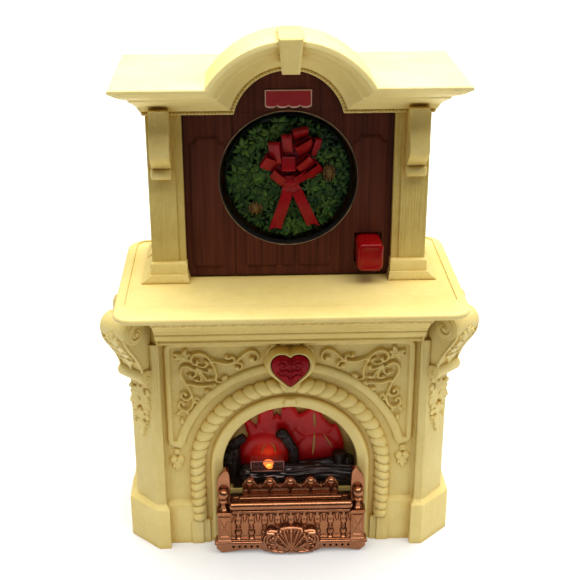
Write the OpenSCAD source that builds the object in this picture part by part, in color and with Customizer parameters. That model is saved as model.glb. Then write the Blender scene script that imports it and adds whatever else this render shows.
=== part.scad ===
/* [Body] */
// Height of the flat cornice top above the table, mm
cornice_z = 200; // [190:0.5:210]
// Height of the mantel shelf top, mm
shelf_z = 118.5; // [110:0.5:126]
// Half width of the mantel shelf, mm
shelf_hw = 67.2; // [60:0.1:72]
// Depth of the shelf in front of the fireplace face, mm
shelf_out = 27; // [20:0.5:32]
// Half width of the lower body, mm
body_hw = 66.5; // [60:0.1:70]
// Depth of the lower body behind the plinth face, mm
body_d = 57; // [50:0.5:64]
// Moulding wall thickness, mm
wall = 2; // [1.6:0.1:3]

/* [Fire opening] */
// Radius of the arched fire opening, mm
fire_r = 28.2; // [24:0.1:30]
// Height of the arch centre, mm
fire_zc = 37; // [34:0.1:40]
// Centreline radius of the rope moulding, mm
rope_R = 38.6; // [36:0.1:42]
// Radius of the rope moulding, mm
rope_r = 3; // [2:0.1:4]

/* [Picture window] */
// Height of the window centre, mm
win_z = 158.5; // [150:0.5:166]
// Radius of the window hole, mm
win_r = 27; // [24:0.1:30]
// Radius of the turning picture disc, mm
disc_r = 24.8; // [20:0.1:25.5]
// Distance of the disc axis behind the plinth face, mm
disc_y = 21; // [20.5:0.1:23]

/* [Flip mechanism] */
// Travel of the push knob, mm
knob_travel = 10; // [6:0.5:12]
// Tooth pitch of rack and gears, mm
pitch = 2; // [1.6:0.1:2.5]
// Teeth on the disc pinion
z_pin = 10; // [8:1:16]
// Teeth on the idler gear
z_idl = 42; // [36:1:44]
// X position of the rack pitch line, mm
rack_x = 26; // [24:0.5:28]
// Tooth thinning on each gear, mm
lash = 0.12; // [0.05:0.01:0.3]

/* [Hidden] */
y0 = -15;
$fn = 64;
e = 0.01;
cyl_c = [0.86, 0.80, 0.60];
m = pitch / PI;
r_pin = z_pin * m / 2;
r_idl = z_idl * m / 2;
idl_x = rack_x - r_idl;
idl_y = disc_y + sqrt(pow(r_idl + r_pin, 2) - idl_x * idl_x);
gear_z0 = 124;
gear_z1 = 128;
zc_arch = 180.6;
kx = 31.4;
kz = 129.9;
heart_z = 85.3;

module F() { translate([0, y0, 0]) children(); }
module ex_y(a, b) { translate([0, b, 0]) rotate([90, 0, 0]) linear_extrude(b - a) children(); }
module ex_x(a, b) { translate([a, 0, 0]) rotate([90, 0, 90]) linear_extrude(b - a) children(); }
module ex_z(a, b) { translate([0, 0, a]) linear_extrude(b - a) children(); }
module box(x0, x1, ya, yb, z0, z1) { translate([x0, ya, z0]) cube([x1 - x0, yb - ya, z1 - z0]); }
module bothx() { children(); mirror([1, 0, 0]) children(); }
module rod_y(x, z, r, a, b) { translate([x, b, z]) rotate([90, 0, 0]) cylinder(r = r, h = b - a); }
module rod_z(x, y, r, a, b) { translate([x, y, a]) cylinder(r = r, h = b - a); }
module rod_x(y, z, r, a, b) { translate([a, y, z]) rotate([0, 90, 0]) cylinder(r = r, h = b - a); }

/* chamfered plan outlines of the lower body */
function plan(hw, yf, yc, cx, cxo, ych, yb) = [[-hw, yb], [-hw, ych], [-cxo, yc], [-cx, yc], [-cx, yf], [cx, yf], [cx, yc], [cxo, yc], [hw, ych], [hw, yb]];
module fire_2d(r, z0 = -1) { union() { translate([-r, z0]) square([2 * r, fire_zc - z0]); translate([0, fire_zc]) circle(r = r, $fn = 96); } }

/* heart outline of a given width */
function heart_pt(t) = [16 * pow(sin(t), 3), 13 * cos(t) - 5 * cos(2 * t) - 2 * cos(3 * t) - cos(4 * t)];
module heart_2d(w, h) { translate([0, 2.6 * h / 29]) scale([w / 32, h / 29]) polygon([for (i = [0:35]) heart_pt(i * 10)]); }

/* involute gear outline */
function inv_deg(a) = tan(a) * 180 / PI - a;
function half_ang(z, rho, thin) = let (r = z * m / 2, rb = r * cos(25), q = max(rho, rb))
  90 / z - thin / 2 / r * 180 / PI + inv_deg(25) - inv_deg(acos(rb / q));
function tooth(z, rf, ra, thin, c) = let (rs = [rf, rf + (ra - rf) * 0.3, rf + (ra - rf) * 0.5, rf + (ra - rf) * 0.7, rf + (ra - rf) * 0.85, ra])
  concat([for (i = [0:5]) rs[i] * [cos(c - half_ang(z, rs[i], thin)), sin(c - half_ang(z, rs[i], thin))]],
         [for (i = [5:-1:0]) rs[i] * [cos(c + half_ang(z, rs[i], thin)), sin(c + half_ang(z, rs[i], thin))]]);
module gear_2d(z, add, ded, thin, ph) {
  r = z * m / 2;
  polygon([for (k = [0:z - 1]) each tooth(z, r - ded, r + add, thin, ph + k * 360 / z)]);
}

module bore_boss(x, z, ro, ri, a, b) { difference() { rod_y(x, z, ro, a, b); rod_y(x, z, ri, a - e, b + e); } }

/* corner bracket profile: distance out from the chamfer face, height */
br = [[1, 115.9], [-6.4, 115.9], [-8, 109], [-12, 100], [-9.6, 97], [-7.2, 93], [-5, 88.8], [-3.8, 85.2], [-2.6, 79.6], [1, 79.4]];
module at_chamfer() { translate([60.5, 3.5, 0]) rotate([0, 0, 42.5]) children(); }

module surround_front() {
  color(cyl_c) F() {
    difference() {
      union() {
        ex_z(2, 96) polygon(plan(body_hw, 2, -2, 51, 54.5, 9, 24));
        ex_z(0, 17) polygon(plan(body_hw + 1.9, 0, -4, 50.6, 55.4, 8, 24));
        ex_x(-51, 51) polygon([[3, 16.9], [0, 16.9], [2.05, 20.8], [3, 20.8]]);
        bothx() {
          translate([50.6, 0, 0]) ex_x(0, 4.8) polygon([[0, 16.9], [-4, 16.9], [-1.95, 20.8], [0, 20.8]]);
          at_chamfer() translate([-8.3, 0, 0]) ex_x(0, 17.2) polygon([[1, 16.9], [-2.2, 16.9], [-0.05, 20.8], [1, 20.8]]);
          translate([66, 9, 0]) ex_y(0, 15) polygon([[0, 16.9], [2.4, 16.9], [0.55, 20.8], [0, 20.8]]);
        }
        /* frame strips beside the spandrels */
        bothx() { box(47.7, 51, 0.8, 2.1, 48, 96); box(45, 51, 0.8, 2.1, 94.4, 96); }
        box(-51, 51, 0.8, 2.1, 94.4, 96);
        /* arch moulding, rope, inner surround */
        intersection() {
          translate([0, 3, fire_zc]) rotate([90, 0, 0]) rotate_extrude(angle = 180, $fn = 128) polygon([[44.7, 0], [48.8, 0], [48.8, 2.2], [47.6, 3.2], [46, 3.2], [44.7, 2]]);
          box(-60, 60, -5, 5, 45, 100);
        }
        translate([0, 1.2, fire_zc]) rotate([90, 0, 0]) rotate_extrude(angle = 180, $fn = 128) translate([rope_R, 0]) circle(r = rope_r - 0.2, $fn = 32);
        bothx() { rod_z(rope_R, 1.2, rope_r, 16, fire_zc + 0.6); for (k = [0:3]) rod_z(rope_R, 1.2, rope_r + 0.25, 19.4 + k * 4.4, 20.4 + k * 4.4); }
        difference() { ex_y(0.2, 4) fire_2d(35.2, 2); ex_y(-1, 5) fire_2d(fire_r); }
        bothx() { box(35.2, 42, -4, 1, 0, 15.6); box(35.2, 41.2, -3, 1, 15.5, 17); box(31, 35.3, -2.6, 1, 0, 17.2); }
        box(-3, 3, -1.2, 1, 66, 70.8);
        /* heart frame */
        ex_y(-4, 3) translate([0, heart_z + 0.4]) heart_2d(20.6, 19.8);
        ex_y(-1.5, 3) polygon([[-3.4, 73], [3.4, 73], [2.4, 80], [-2.4, 80]]);
        /* corner brackets and foliage drops */
        bothx() at_chamfer() {
          ex_x(-6.8, 6.8) polygon(br);
          box(-4, 4, -1.9, 1, 60, 79.7);
          box(-3, 3, -1.9, 1, 52, 60.2);
          rod_y(0, 52, 3, -1.8, 1);
          rod_x(-8, 103.8, 5.7, -7.3, 7.3);
          rod_x(-8, 103.8, 3.2, -7.7, 7.7);
          rod_x(-2.6, 82.4, 3.1, -7.3, 7.3);
        }
        /* leaf pendants */
        bothx() { ex_y(0.4, 3) polygon([[44.6, 47.6], [48.4, 47.6], [49, 43], [47.6, 38.5], [46.5, 36], [45.4, 38.5], [44, 43]]); }
      }
      /* hollow inside */
      ex_z(2, 96 + e) polygon(plan(body_hw - wall, 4, 0, 49, 53.7, 10, 24 + e));
      box(-26, 26, 4, 24 + e, 72, 97);
      ex_y(-6, 30) fire_2d(fire_r, -1);
      ex_y(18.6, 30) fire_2d(31 + e, -2);
      box(-32, 32, 14, 30, -1, 72);
      ex_y(-6, 5) translate([0, heart_z]) heart_2d(15.8, 15);
      ex_y(-1.4, 5) translate([0, heart_z]) heart_2d(19, 18.2);
      /* spandrel recess 0.9 deep */
      ex_y(1, 2.1 - e) difference() {
        translate([-47.7, 49]) square([95.4, 45.4]);
        translate([0, fire_zc]) circle(r = 48.7, $fn = 96);
        translate([0, heart_z + 0.4]) scale([1.05, 1.05]) heart_2d(20.6, 19.8);
      }
      bothx() rod_z(38.3, 2.5, 1, -1, 5);
      /* grate peg holes */
      bothx() rod_y(33.2, 6, 1.05, -5, 3);
    }
    bothx() for (z = [12, 90]) { bore_boss(57, z, 3.2, 1.25, 6, 23.9); difference() { box(57, 65, 12, 23.9, z - 0.8, z + 0.8); rod_y(57, z, 1.25, 5, 30); } }
  }
}

module rrect(hw, ya, yb, rf, rb, z0, z1) {
  bothx() {
    rod_z(hw - rf, ya + rf, rf, z0, z1);
    rod_z(hw - rb, yb - rb, rb, z0, z1);
    box(hw - rb - 2, hw, ya + rf, yb - rb, z0, z1);
    box(-1, hw - rf, ya, ya + rf + 2, z0, z1);
    box(-1, hw - rb, ya + rf, yb, z0, z1);
  }
}
bed = [[2, 96.05], [-2.6, 96.05], [-3, 98.6], [-5.2, 99.4], [-7.6, 101.4], [-8.6, 102.6], [-8.6, 103.8], [-10.6, 104.6], [-11.6, 106.4], [-13.4, 107], [-15.6, 109], [-18.4, 111.4], [-21.2, 112.6], [-22.4, 112.8], [-22.4, 115], [-24.4, 116], [-24.4, 117], [2, 117]];
bed_in = [[4, 95], [-0.6, 95], [-1, 100], [-5.6, 103], [-6.6, 105.4], [-9.4, 108], [-12, 110.6], [-16.4, 113.4], [-20, 114.4], [-20, 116], [4, 116]];
module mantel_shelf() {
  color(cyl_c) F() {
    difference() {
      union() {
        rrect(shelf_hw, -shelf_out, body_d, 8, 9, 116, shelf_z - 0.7);
        rrect(shelf_hw - 0.7, -shelf_out + 0.7, body_d - 0.7, 7.4, 8.4, 116, shelf_z);
        intersection() {
          ex_x(-70, 70) polygon(bed);
          ex_z(90, 118) polygon([[-53.2, -30], [53.2, -30], [53.2, -1.3], [53.8, -1.2], [65.8, 9.8], [66.5, 10.5], [66.5, 20], [-66.5, 20], [-66.5, 10.5], [-65.8, 9.8], [-53.8, -1.2], [-53.2, -1.3]]);
        }
        bothx() box(64.5, 66.5, 10.6, body_d - 0.1, 96.05, 116.1);
        box(-65, 65, body_d - 2.1, body_d - 0.1, 110, 116.1);
      }
      intersection() {
        ex_x(-70, 70) polygon(bed_in);
        ex_z(90, 118) polygon([[-51.2, -30], [51.2, -30], [51.2, -0.3], [52.45, 0.27], [64.45, 11.27], [64.5, 30], [-64.5, 30], [-64.45, 11.27], [-52.45, 0.27], [-51.2, -0.3]]);
      }
      ex_z(90, 116) polygon([[-56.4, 3.9], [56.4, 3.9], [64.45, 11.27], [64.5, body_d - 2.2], [-64.5, body_d - 2.2], [-64.45, 11.27]]);
      /* inset line round the shelf top */
      difference() {
        rrect(63.2, -13.8, body_d + 5, 1, 1, shelf_z - 0.6, shelf_z + 1);
        rrect(62.4, -13, body_d + 6, 1, 1, shelf_z - 2, shelf_z + 2);
      }
      bothx() for (y = [19, 40]) rod_z(47.5, y, 1.6, 100, 130);
    }
  }
}

cfy = [[47, 185.4], [10, 185.4], [9.4, 187], [8.6, 187.4], [7.6, 189], [3, 191.4], [-1.8, 193.4], [-2.2, 194.2], [-6.4, 195.8], [-9.6, 197.2], [-10.8, 198.4], [-11.2, 198.4], [-11.2, 199.5], [-10.7, 200], [47, 200]];
cin = [[53, 183], [13, 183], [11.5, 188.4], [8.4, 190.8], [3.4, 193.8], [-2.6, 196.2], [-6.6, 197.8], [-7.6, 198], [53, 198]];
csx = [[54.9, 185.4], [55.4, 187], [55.8, 187.4], [56.4, 189], [57.4, 191.4], [58.4, 193.4], [58.9, 194.2], [60.6, 195.8], [62.8, 197.2], [64.4, 198.4], [65, 198.4], [65, 199.5], [64.5, 200]];
csi = [[52.5, 183], [53, 188.4], [54.4, 190.8], [56.5, 193.8], [58.9, 196.2], [61.4, 197.8], [62, 198]];
module sym(p) { polygon(concat(p, [for (i = [len(p) - 1:-1:0]) [-p[i][0], p[i][1]]])); }
corb = [[12, 188], [-1, 188], [-1.6, 185.6], [-0.8, 183], [0.8, 180.4], [2.4, 177.6], [3, 174.6], [2.4, 172], [2.4, 170], [3.6, 168.6], [6.4, 168.4], [8.4, 167.2], [9.2, 165.2], [12, 164]];
module arch_ring(p) { translate([0, 0, zc_arch]) rotate([90, 0, 0]) rotate_extrude(angle = 180, $fn = 128) polygon([for (q = p) [q[0], -q[1]]]); }
module overmantel_frame() {
  color(cyl_c) F() {
    difference() {
      union() {
        difference() {
          intersection() {
            ex_x(-66, 66) polygon(concat([[50, 185.4]], [for (i = [1:len(cfy) - 2]) cfy[i]], [[50, 200]]));
            ex_y(-12, 50) sym(csx);
          }
          intersection() {
            ex_x(-66, 66) polygon(cin);
            ex_y(-12, 48) sym(csi);
          }
          box(-51.9, 51.9, 13.5, 47.9, 183, 190);
          arch_ring([[0.01, -20], [34.2, -20], [34.2, -10.8], [33, -9.6], [31.6, -6.4], [30, -2.2], [29.2, -1.8], [27.2, 3], [24.8, 7.6], [23.2, 8.6], [22.8, 9.4], [21.2, 10], [21.2, 14.4], [23, 14.4], [23, 16.5], [0.01, 16.5]]);
        }
        intersection() {
          arch_ring([[36.2, -10.7], [35.7, -11.2], [34.2, -11.2], [34.2, -10.8], [33, -9.6], [31.6, -6.4], [30, -2.2], [29.2, -1.8], [27.2, 3], [24.8, 7.6], [23.2, 8.6], [22.8, 9.4], [21.2, 10], [21.2, 14.4], [23, 14.4], [23, 12], [25, 10.6], [27.6, 7.2], [29.8, 2.6], [32, -3], [33, -7], [34.2, -9], [34.2, 14.6], [23, 14.6], [23, 18], [36.2, 18]]);
          ex_x(-45, 45) polygon([[-30, 198.4], [-10.8, 198.4], [-9.6, 197.2], [-6.4, 195.8], [-2.2, 194.2], [-1.8, 193.4], [3, 191.4], [7.6, 189], [8.6, 187.4], [9.4, 187], [10, 185.4], [40, 185.4], [40, 230], [-30, 230]]);
        }
        ex_y(16.6, 18) intersection() { translate([0, zc_arch]) circle(r = 23.4, $fn = 96); translate([-30, 199]) square([60, 40]); }
        /* keystone */
        ex_y(-13.2, 0) polygon([[-3.3, 205.2], [3.3, 205.2], [4.3, 218], [-4.3, 218]]);
        ex_y(-0.1, 9) polygon([[-4, 211], [4, 211], [4.3, 218], [-4.3, 218]]);
        /* pillars, moulded feet, scroll corbels */
        bothx() {
          box(40.5, 54, 11.5, 13.5, 118.5, 187.5);
          box(40.5, 42.3, 11.5, 14.4, 118.5, 187.5);
          box(52, 54, 11.5, 33.9, 118.5, 187.5);
          box(40.2, 54.6, 9.8, 13.5, 121.4, 126);
          box(52, 54.6, 9.8, 33.9, 121.4, 126);
          ex_y(8.8, 13.5) polygon([[39.4, 118.5], [58.3, 118.5], [55.2, 121.5], [39.4, 121.5]]);
          ex_y(13.4, 33.9) polygon([[52, 118.5], [58.3, 118.5], [55.2, 121.5], [52, 121.5]]);
          ex_x(44.8, 52.3) polygon(corb);
          rod_x(9.6, 163.2, 1.9, 44.6, 52.5);
          
        }
      }
      /* room for the panel and tympanum */
      ex_y(-20, 10) intersection() { translate([0, zc_arch]) circle(r = 21.2, $fn = 96); translate([-30, 170]) square([60, 60]); }
      bothx() for (y = [19, 40]) rod_z(47.5, y, 1.1, 118, 124);
    }
    bothx() {
      difference() { box(43, 52.1, 15.7 + 1, 22.6, 118.5, 124); rod_z(47.5, 19, 1.1, 118, 130); }
      for (z = [132, 178]) { bore_boss(49, z, 2.8, 1.15, 17, 33.9); difference() { box(48, 52.1, 17, 33.9, z - 0.9, z + 0.9); rod_y(49, z, 1.15, 10, 40); } }
    }
  }
}

module overmantel_panel() {
  color([0.25, 0.12, 0.09]) F() difference() {
    union() {
      box(-44.5, 44.5, 14.5, 16.5, 118.6, 185.3);
      ex_y(14.5, 16.5) intersection() { translate([0, zc_arch]) circle(r = 22.6, $fn = 96); translate([-30, 185.2]) square([60, 40]); }
      ex_y(14, 14.6) {
        for (s = [-1, 1]) translate([s * 31.4, 0]) { translate([-7, 150]) square([14, 26]); }
        translate([-38.4, 122]) square([12.4, 9]);
        translate([-17.4, 122]) square([13.4, 6.5]);
        translate([3.4, 122]) square([13.4, 6.5]);
      }
      translate([0, 14.6, win_z]) rotate([90, 0, 0]) rotate_extrude($fn = 128) polygon([[win_r - 0.5, -0.5], [win_r + 0.9, -0.5], [win_r + 0.9, 0.3], [win_r + 0.4, 0.7], [win_r, 0.7], [win_r - 0.5, 0.2]]);
    }
    rod_y(0, win_z, win_r - 0.5, 10, 20, $fn = 128);
    box(25.4, 37, 10, 20, 123.7, 137);
    bothx() { rod_y(40, 122, 1.6, 12, 18); }
  }
}

module badge_plate() {
  color([0.75, 0.08, 0.08]) F() ex_y(14, 14.5) union() {
    translate([-8.9, 188.6]) square([17.8, 4.9]);
    for (i = [0:3]) translate([-6.675 + 4.45 * i, 188.8]) circle(r = 2.225);
  }
}

module lower_rear_shell() {
  color(cyl_c) F() {
    difference() {
      union() {
        difference() {
          union() { ex_z(0, 95.9) polygon([[-66.5, 24.1], [66.5, 24.1], [66.5, 57], [-66.5, 57]]); ex_z(0, 17) polygon([[-68.4, 24.1], [68.4, 24.1], [68.4, 57], [-68.4, 57]]); }
          box(-64.5, 64.5, 20, 55, 2, 100);
        }
        box(-64.3, 64.3, 55, 56.8, 95.8, 109.9);
        /* battery compartment */
        difference() { box(-36.4, 36.4, 36, 55.1, 5, 47); box(-28.4, 28.4, 37.6, 60, 8, 42.4); box(-40, -30, 30, 54.9, 4, 19); box(30, 40, 30, 54.9, 4, 19); box(-40, -30, 30, 54.9, 31, 50); box(30, 40, 30, 54.9, 31, 50); }
      }
      box(-36, 36, 55.1, 58, 4.6, 47.4);
      box(-28.4, 28.4, 37.6, 60, 8, 42.4);
      bothx() rod_y(33, 25, 1.3, 40, 60);
      bothx() for (z = [12, 90]) rod_y(57, z, 3.05, 32, 60);
      for (i = [-2:2], j = [-2:2]) if (abs(i) + abs(j) < 4) rod_y(i * 4.5, 78 + j * 4.5, 1.1, 50, 60, $fn = 24);
    }
    bothx() for (z = [12, 90]) difference() { rod_y(57, z, 4.6, 24.1, 55.5); rod_y(57, z, 3.05, 32, 58); rod_y(57, z, 1.7, 20, 33); }
    difference() { rod_y(0, 78, 16.6, 49, 55.2); rod_y(0, 78, 15.1, 48, 56); }
  }
}

module upper_rear_cover() {
  color(cyl_c) F() {
    difference() {
      union() {
        box(-54, 54, 34, 50, 118.6, 185.3);
        ex_y(34, 50) polygon([[-58.3, 118.6], [58.3, 118.6], [55.2, 121.5], [-55.2, 121.5]]);
      }
      box(-52, 52, 30, 48, 100, 190);
      bothx() for (z = [132, 178]) rod_y(49, z, 1.6, 30, 60);
      bothx() for (z = [132, 178]) rod_y(49, z, 3, 48.6, 60);
    }
    bothx() {
      for (z = [132, 178]) difference() { rod_y(49, z, 2.9, 34, 48.1); rod_y(49, z, 1.6, 30, 60); }
      difference() { box(43, 52.1, 36.5, 43.5, 118.6, 124); rod_z(47.5, 40, 1.1, 118, 130); }
    }
  }
}

module firebox_liner() {
  color([0.78, 0.72, 0.52]) F() difference() {
    union() {
      ex_y(4.05, 18.5) fire_2d(30.8, 2.1);
      box(-31, 31, 16.8, 18.5, 2.1, 70);
    }
    difference() {
      ex_y(4, 17) fire_2d(29.2, 24);
    }
    difference() { ex_y(4, 17) fire_2d(29.2, 3.7); box(-40, 40, 0, 20, 22, 24); }
    rod_z(-9, 9.2, 3.1, 20, 26);
    rod_y(-9, 9, 1.5, 16, 20);
    bothx() rod_y(20, 30, 1.3, 16, 20);
  }
}

module flame_panel() {
  color([0.8, 0.05, 0.02, 0.7]) F() union() {
    ex_y(14.4, 15.8) {
      polygon([[-22, 25], [22, 25], [23.5, 31], [24, 37], [22, 43], [19, 47.5], [20.5, 51], [17.5, 52.5], [16, 57], [12.8, 54.2], [10.6, 60.4], [8, 55.4], [4.4, 58.4], [4.6, 53.4], [0.5, 49.6], [-3.4, 54], [-4.6, 58.6], [-8, 55.6], [-11, 61], [-13.4, 55.4], [-18, 57], [-18, 52], [-22, 50.4], [-20.4, 46.4], [-23, 41], [-24, 35], [-23.4, 29]]);
      bothx() translate([10.8, 39]) circle(r = 11.8, $fn = 48);
    }
    bothx() ex_y(13.7, 14.5) translate([10.8, 39]) difference() { circle(r = 11, $fn = 48); circle(r = 9.8, $fn = 48); }
    bothx() rod_y(20, 30, 1.2, 15.7, 18);
  }
}

module log_set() {
  color([0.12, 0.07, 0.05]) F() difference() {
    union() {
      box(-24, 27, 5, 13.4, 24, 28.4);
      rod_x(4.8, 28.8, 4.2, -20.4, 27.8);
      translate([-22, 6.4, 28.2]) rotate([0, 0, 1]) rod_x(0, 3, 3, 0, 45);
      rod_z(-19.4, 10.6, 3, 28, 47);
      translate([-19.4, 10.5, 47]) sphere(r = 3.1);
      translate([-1, 10.2, 29]) rotate([0, -9, 0]) cylinder(r = 1.7, h = 18);
      translate([-4, 10.2, 48]) sphere(r = 3);
      rod_z(20.4, 10.6, 3, 28, 42.6);
      rod_z(24.4, 9.8, 2.6, 28, 40);
      box(-17, -2.6, 5, 9.6, 30, 34.4);
    }
    box(-16, -3.6, 5.6, 20, 20, 33);
    box(-16.6, -3, 2, 6.4, 32.2, 36);
  }
}
module lamp_window() { color([0.95, 0.9, 0.8, 0.4]) F() union() { box(-16.5, -3.1, 5, 6.3, 32.3, 36.6); box(-16.5, -3.1, 5, 8.3, 34.45, 36.6); } }
module lamp() {
  color([1, 0.6, 0.2]) F() union() { rod_z(-9, 9.2, 1.9, 25.6, 29.4); translate([-9, 9.2, 29.4]) sphere(r = 1.9); rod_z(-9, 9.2, 2.3, 23, 25.7); }
}
module lamp_holder() {
  color([0.2, 0.2, 0.2]) F() difference() { union() { rod_z(-9, 9.2, 3.6, 16, 22); box(-14, -4, 5, 14, 14, 16.1); rod_z(-9, 9.2, 2.9, 21.9, 23); } rod_z(-9, 9.2, 1.6, 17, 24); }
}

gy = -7.6;
module ball(x, y, z, r) { translate([x, y, z]) sphere(r = r, $fn = 32); }
module fire_grate() {
  color([0.55, 0.30, 0.18]) F() union() {
    difference() {
      union() {
        ex_y(gy - 0.6, -4.2) polygon([[-29.4, 0], [-20, 1.4], [-13, 1.4], [-10, 0.1], [10, 0.1], [13, 1.4], [20, 1.4], [29.4, 0], [31.9, 2.4], [31.9, 6.8], [-31.9, 6.8], [-31.9, 2.4]]);
        box(-31.9, 31.9, gy - 1, -4.2, 6, 7.6);
      }
      for (s = [-1, 1], i = [0:4]) rod_y(s * (14.2 + i * 2.5), 4, 0.8, -12, 0, $fn = 24);
    }
    /* spindles */
    for (i = [-4:4]) { rod_z(i * 5.2, gy, 0.95, 7, 20.6); ball(i * 5.2, gy, 10, 1.5); ball(i * 5.2, gy, 14, 1.7); ball(i * 5.2, gy, 18, 1.4); }
    for (i = [-4:3]) rod_z(i * 5.2 + 2.6, gy, 0.6, 7, 20.6, $fn = 24);
    /* front rail and tray */
    difference() { box(-25.4, 25.4, gy - 1.6, 0.4, 20.4, 24); box(-22, 22, -6.6, -2.2, 18, 26); box(-22, 22, -7, -1.6, 18, 22.4); }
    box(-25.4, 25.4, gy - 1.9, gy - 1.2, 21.2, 23);
    box(-25.4, 25.4, -0.6, 0.4, 23.9, 27);
    ex_y(-0.4, 0.3) polygon([[-19.6, 26.6], [19.6, 26.6], [19.6, 29.4], [18.4, 30.4], [16.4, 30.2], [13, 29.2], [11.8, 29.2], [8.4, 30.8], [5, 29.2], [0, 31.4], [-5, 29.2], [-8.4, 30.8], [-11.8, 29.2], [-13, 29.2], [-16.4, 30.2], [-18.4, 30.4], [-19.6, 29.4]]);
    for (i = [-2:2]) ball(i * 8.6, -0.5, 31, 1.5);
    /* posts */
    bothx() {
      box(25.3, 30.7, gy - 1.2, -3.4, 6.9, 20.4);
      box(25.8, 30.2, gy - 1.6, gy - 1, 9, 18.6);
      box(25, 31, gy - 1.6, -3, 20.2, 22);
      rod_z(27.9, gy + 1.6, 1.5, 21.9, 28);
      ball(27.9, gy + 1.6, 29.4, 2.4);
      box(25.2, 30.6, -3.5, 0.1, 22, 24);
      translate([26.2, -1.6, 23]) rotate([-4, 0, 0]) cylinder(r1 = 1.5, r2 = 0.6, h = 15.5);
      rod_y(33.2, 6, 1, -4.3, -1); box(30.5, 34.2, -4.9, -4.1, 4.6, 7.4);
    }
    /* shell ornament */
    intersection() { translate([0, gy - 0.4, 6.6]) scale([1.9, 0.42, 1]) sphere(r = 6.2); box(-20, 20, -16, -5, 0.2, 20); }
    bothx() ball(9.6, gy - 0.8, 9.2, 1.9);
  }
}

module heart_button() {
  color([0.8, 0.05, 0.05, 0.8]) F() union() {
    ex_y(-5.4, 1) translate([0, heart_z]) heart_2d(15.4, 14.6);
    ex_y(-6, -5.3) translate([0, heart_z]) heart_2d(13.2, 12.4);
    ex_y(-1.35, 0.4) translate([0, heart_z]) heart_2d(18.2, 17.4);
    rod_y(0, 84, 2.4, 0.9, 8.9);
  }
}
module heart_pad() { color([0.3, 0.3, 0.3]) F() translate([0, 11.9, 84]) rotate([90, 0, 0]) rotate_extrude() polygon([[0, 1.8], [2, 1.8], [4.4, 0], [5, 0], [5, 0.5], [2.6, 2.9], [0, 2.9]]); }
module circuit_board() {
  color([0.1, 0.35, 0.15]) F() {
    difference() { box(-22, 22, 12, 13.6, 74, 95); bothx() rod_y(19, 91, 1.6, 10, 20); }
    box(6, 16, 13.55, 15.4, 76, 84); rod_y(-10, 80, 2.2, 13.55, 20); rod_y(-16, 88, 1.6, 13.55, 17);
    rod_x(14.4, 90, 0.9, -6, 6); 
  }
}
module speaker() {
  color([0.15, 0.15, 0.17]) F() translate([0, 54.9, 78]) rotate([90, 0, 0]) rotate_extrude($fn = 96) polygon([[0, 1.6], [5, 1.2], [12.4, 0.2], [13.2, 0], [15, 0], [15, 1.6], [10, 4.4], [8.6, 4.4], [8.6, 8.6], [0, 8.6]]);
}
module batteries() {
  color([0.2, 0.35, 0.6]) F() for (k = [0, 1]) mirror([k, 0, 0]) { rod_x(45.8, k == 0 ? 16.6 : 33.6, 7.1, -24.6, 24); rod_x(45.8, k == 0 ? 16.6 : 33.6, 2.7, 23.9, 25.4); }
}
module battery_contacts() {
  color([0.75, 0.75, 0.78]) F() for (k = [0, 1]) mirror([k, 0, 0]) {
    zc = k == 0 ? 16.6 : 33.6;
    box(-28.3, -27.8, 40, 51, zc - 6, zc + 6);
    translate([-27.9, 45.8, zc]) rotate([0, 90, 0]) rotate_extrude($fn = 48) translate([0, 0]) polygon([[4.2, 0], [5, 0], [2.6, 3.2], [1.8, 3.2]]);
    box(25.5, 26, 41, 50.6, zc - 6, zc + 6); box(25.9, 28.3, 44, 47.6, zc - 2, zc + 2);
  }
}
module battery_door() {
  color(cyl_c) F() difference() {
    union() { box(-35.8, 35.8, 55.2, 57, 4.8, 47.2); difference() { box(-27.9, 27.9, 52.6, 55.3, 8.4, 42); box(-26.6, 26.6, 50, 55.2, 9.8, 40.6); } for (i = [-3:3]) box(-9, 9, 56.9, 57, 22 + i * 1.6, 22.8 + i * 1.6); }
    bothx() { rod_y(33, 25, 1.6, 50, 60); rod_y(33, 25, 2.9, 56, 60); }
  }
}
module screw_y(x, z, yh, ys, yt, rh, rs) {
  difference() { union() { rod_y(x, z, rh, ys, yh); rod_y(x, z, rs, yt, ys + e); } translate([x, yh, z]) rotate([0, 45, 0]) { cube([rh * 1.2, 1, 0.6], center = true); cube([0.6, 1, rh * 1.2], center = true); } }
}
module door_screws() { color([0.6, 0.6, 0.62]) F() bothx() screw_y(33, 25, 56.9, 56, 44, 2.6, 1.25); }
module case_screws() { color([0.6, 0.6, 0.62]) F() bothx() for (z = [12, 90]) screw_y(57, z, 34, 32, 13, 2.7, 1.2); }
module cover_screws() { color([0.6, 0.6, 0.62]) F() bothx() for (z = [132, 178]) screw_y(49, z, 49.6, 48.6, 24, 2.6, 1.1); }
module shelf_screws() { color([0.6, 0.6, 0.62]) F() bothx() for (y = [19, 40]) difference() { union() { rod_z(47.5, y, 2.6, 114, 116); rod_z(47.5, y, 1.05, 115.9, 123); } translate([47.5, y, 114]) { cube([3.2, 0.6, 1.4], center = true); cube([0.6, 3.2, 1.4], center = true); } } }

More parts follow.
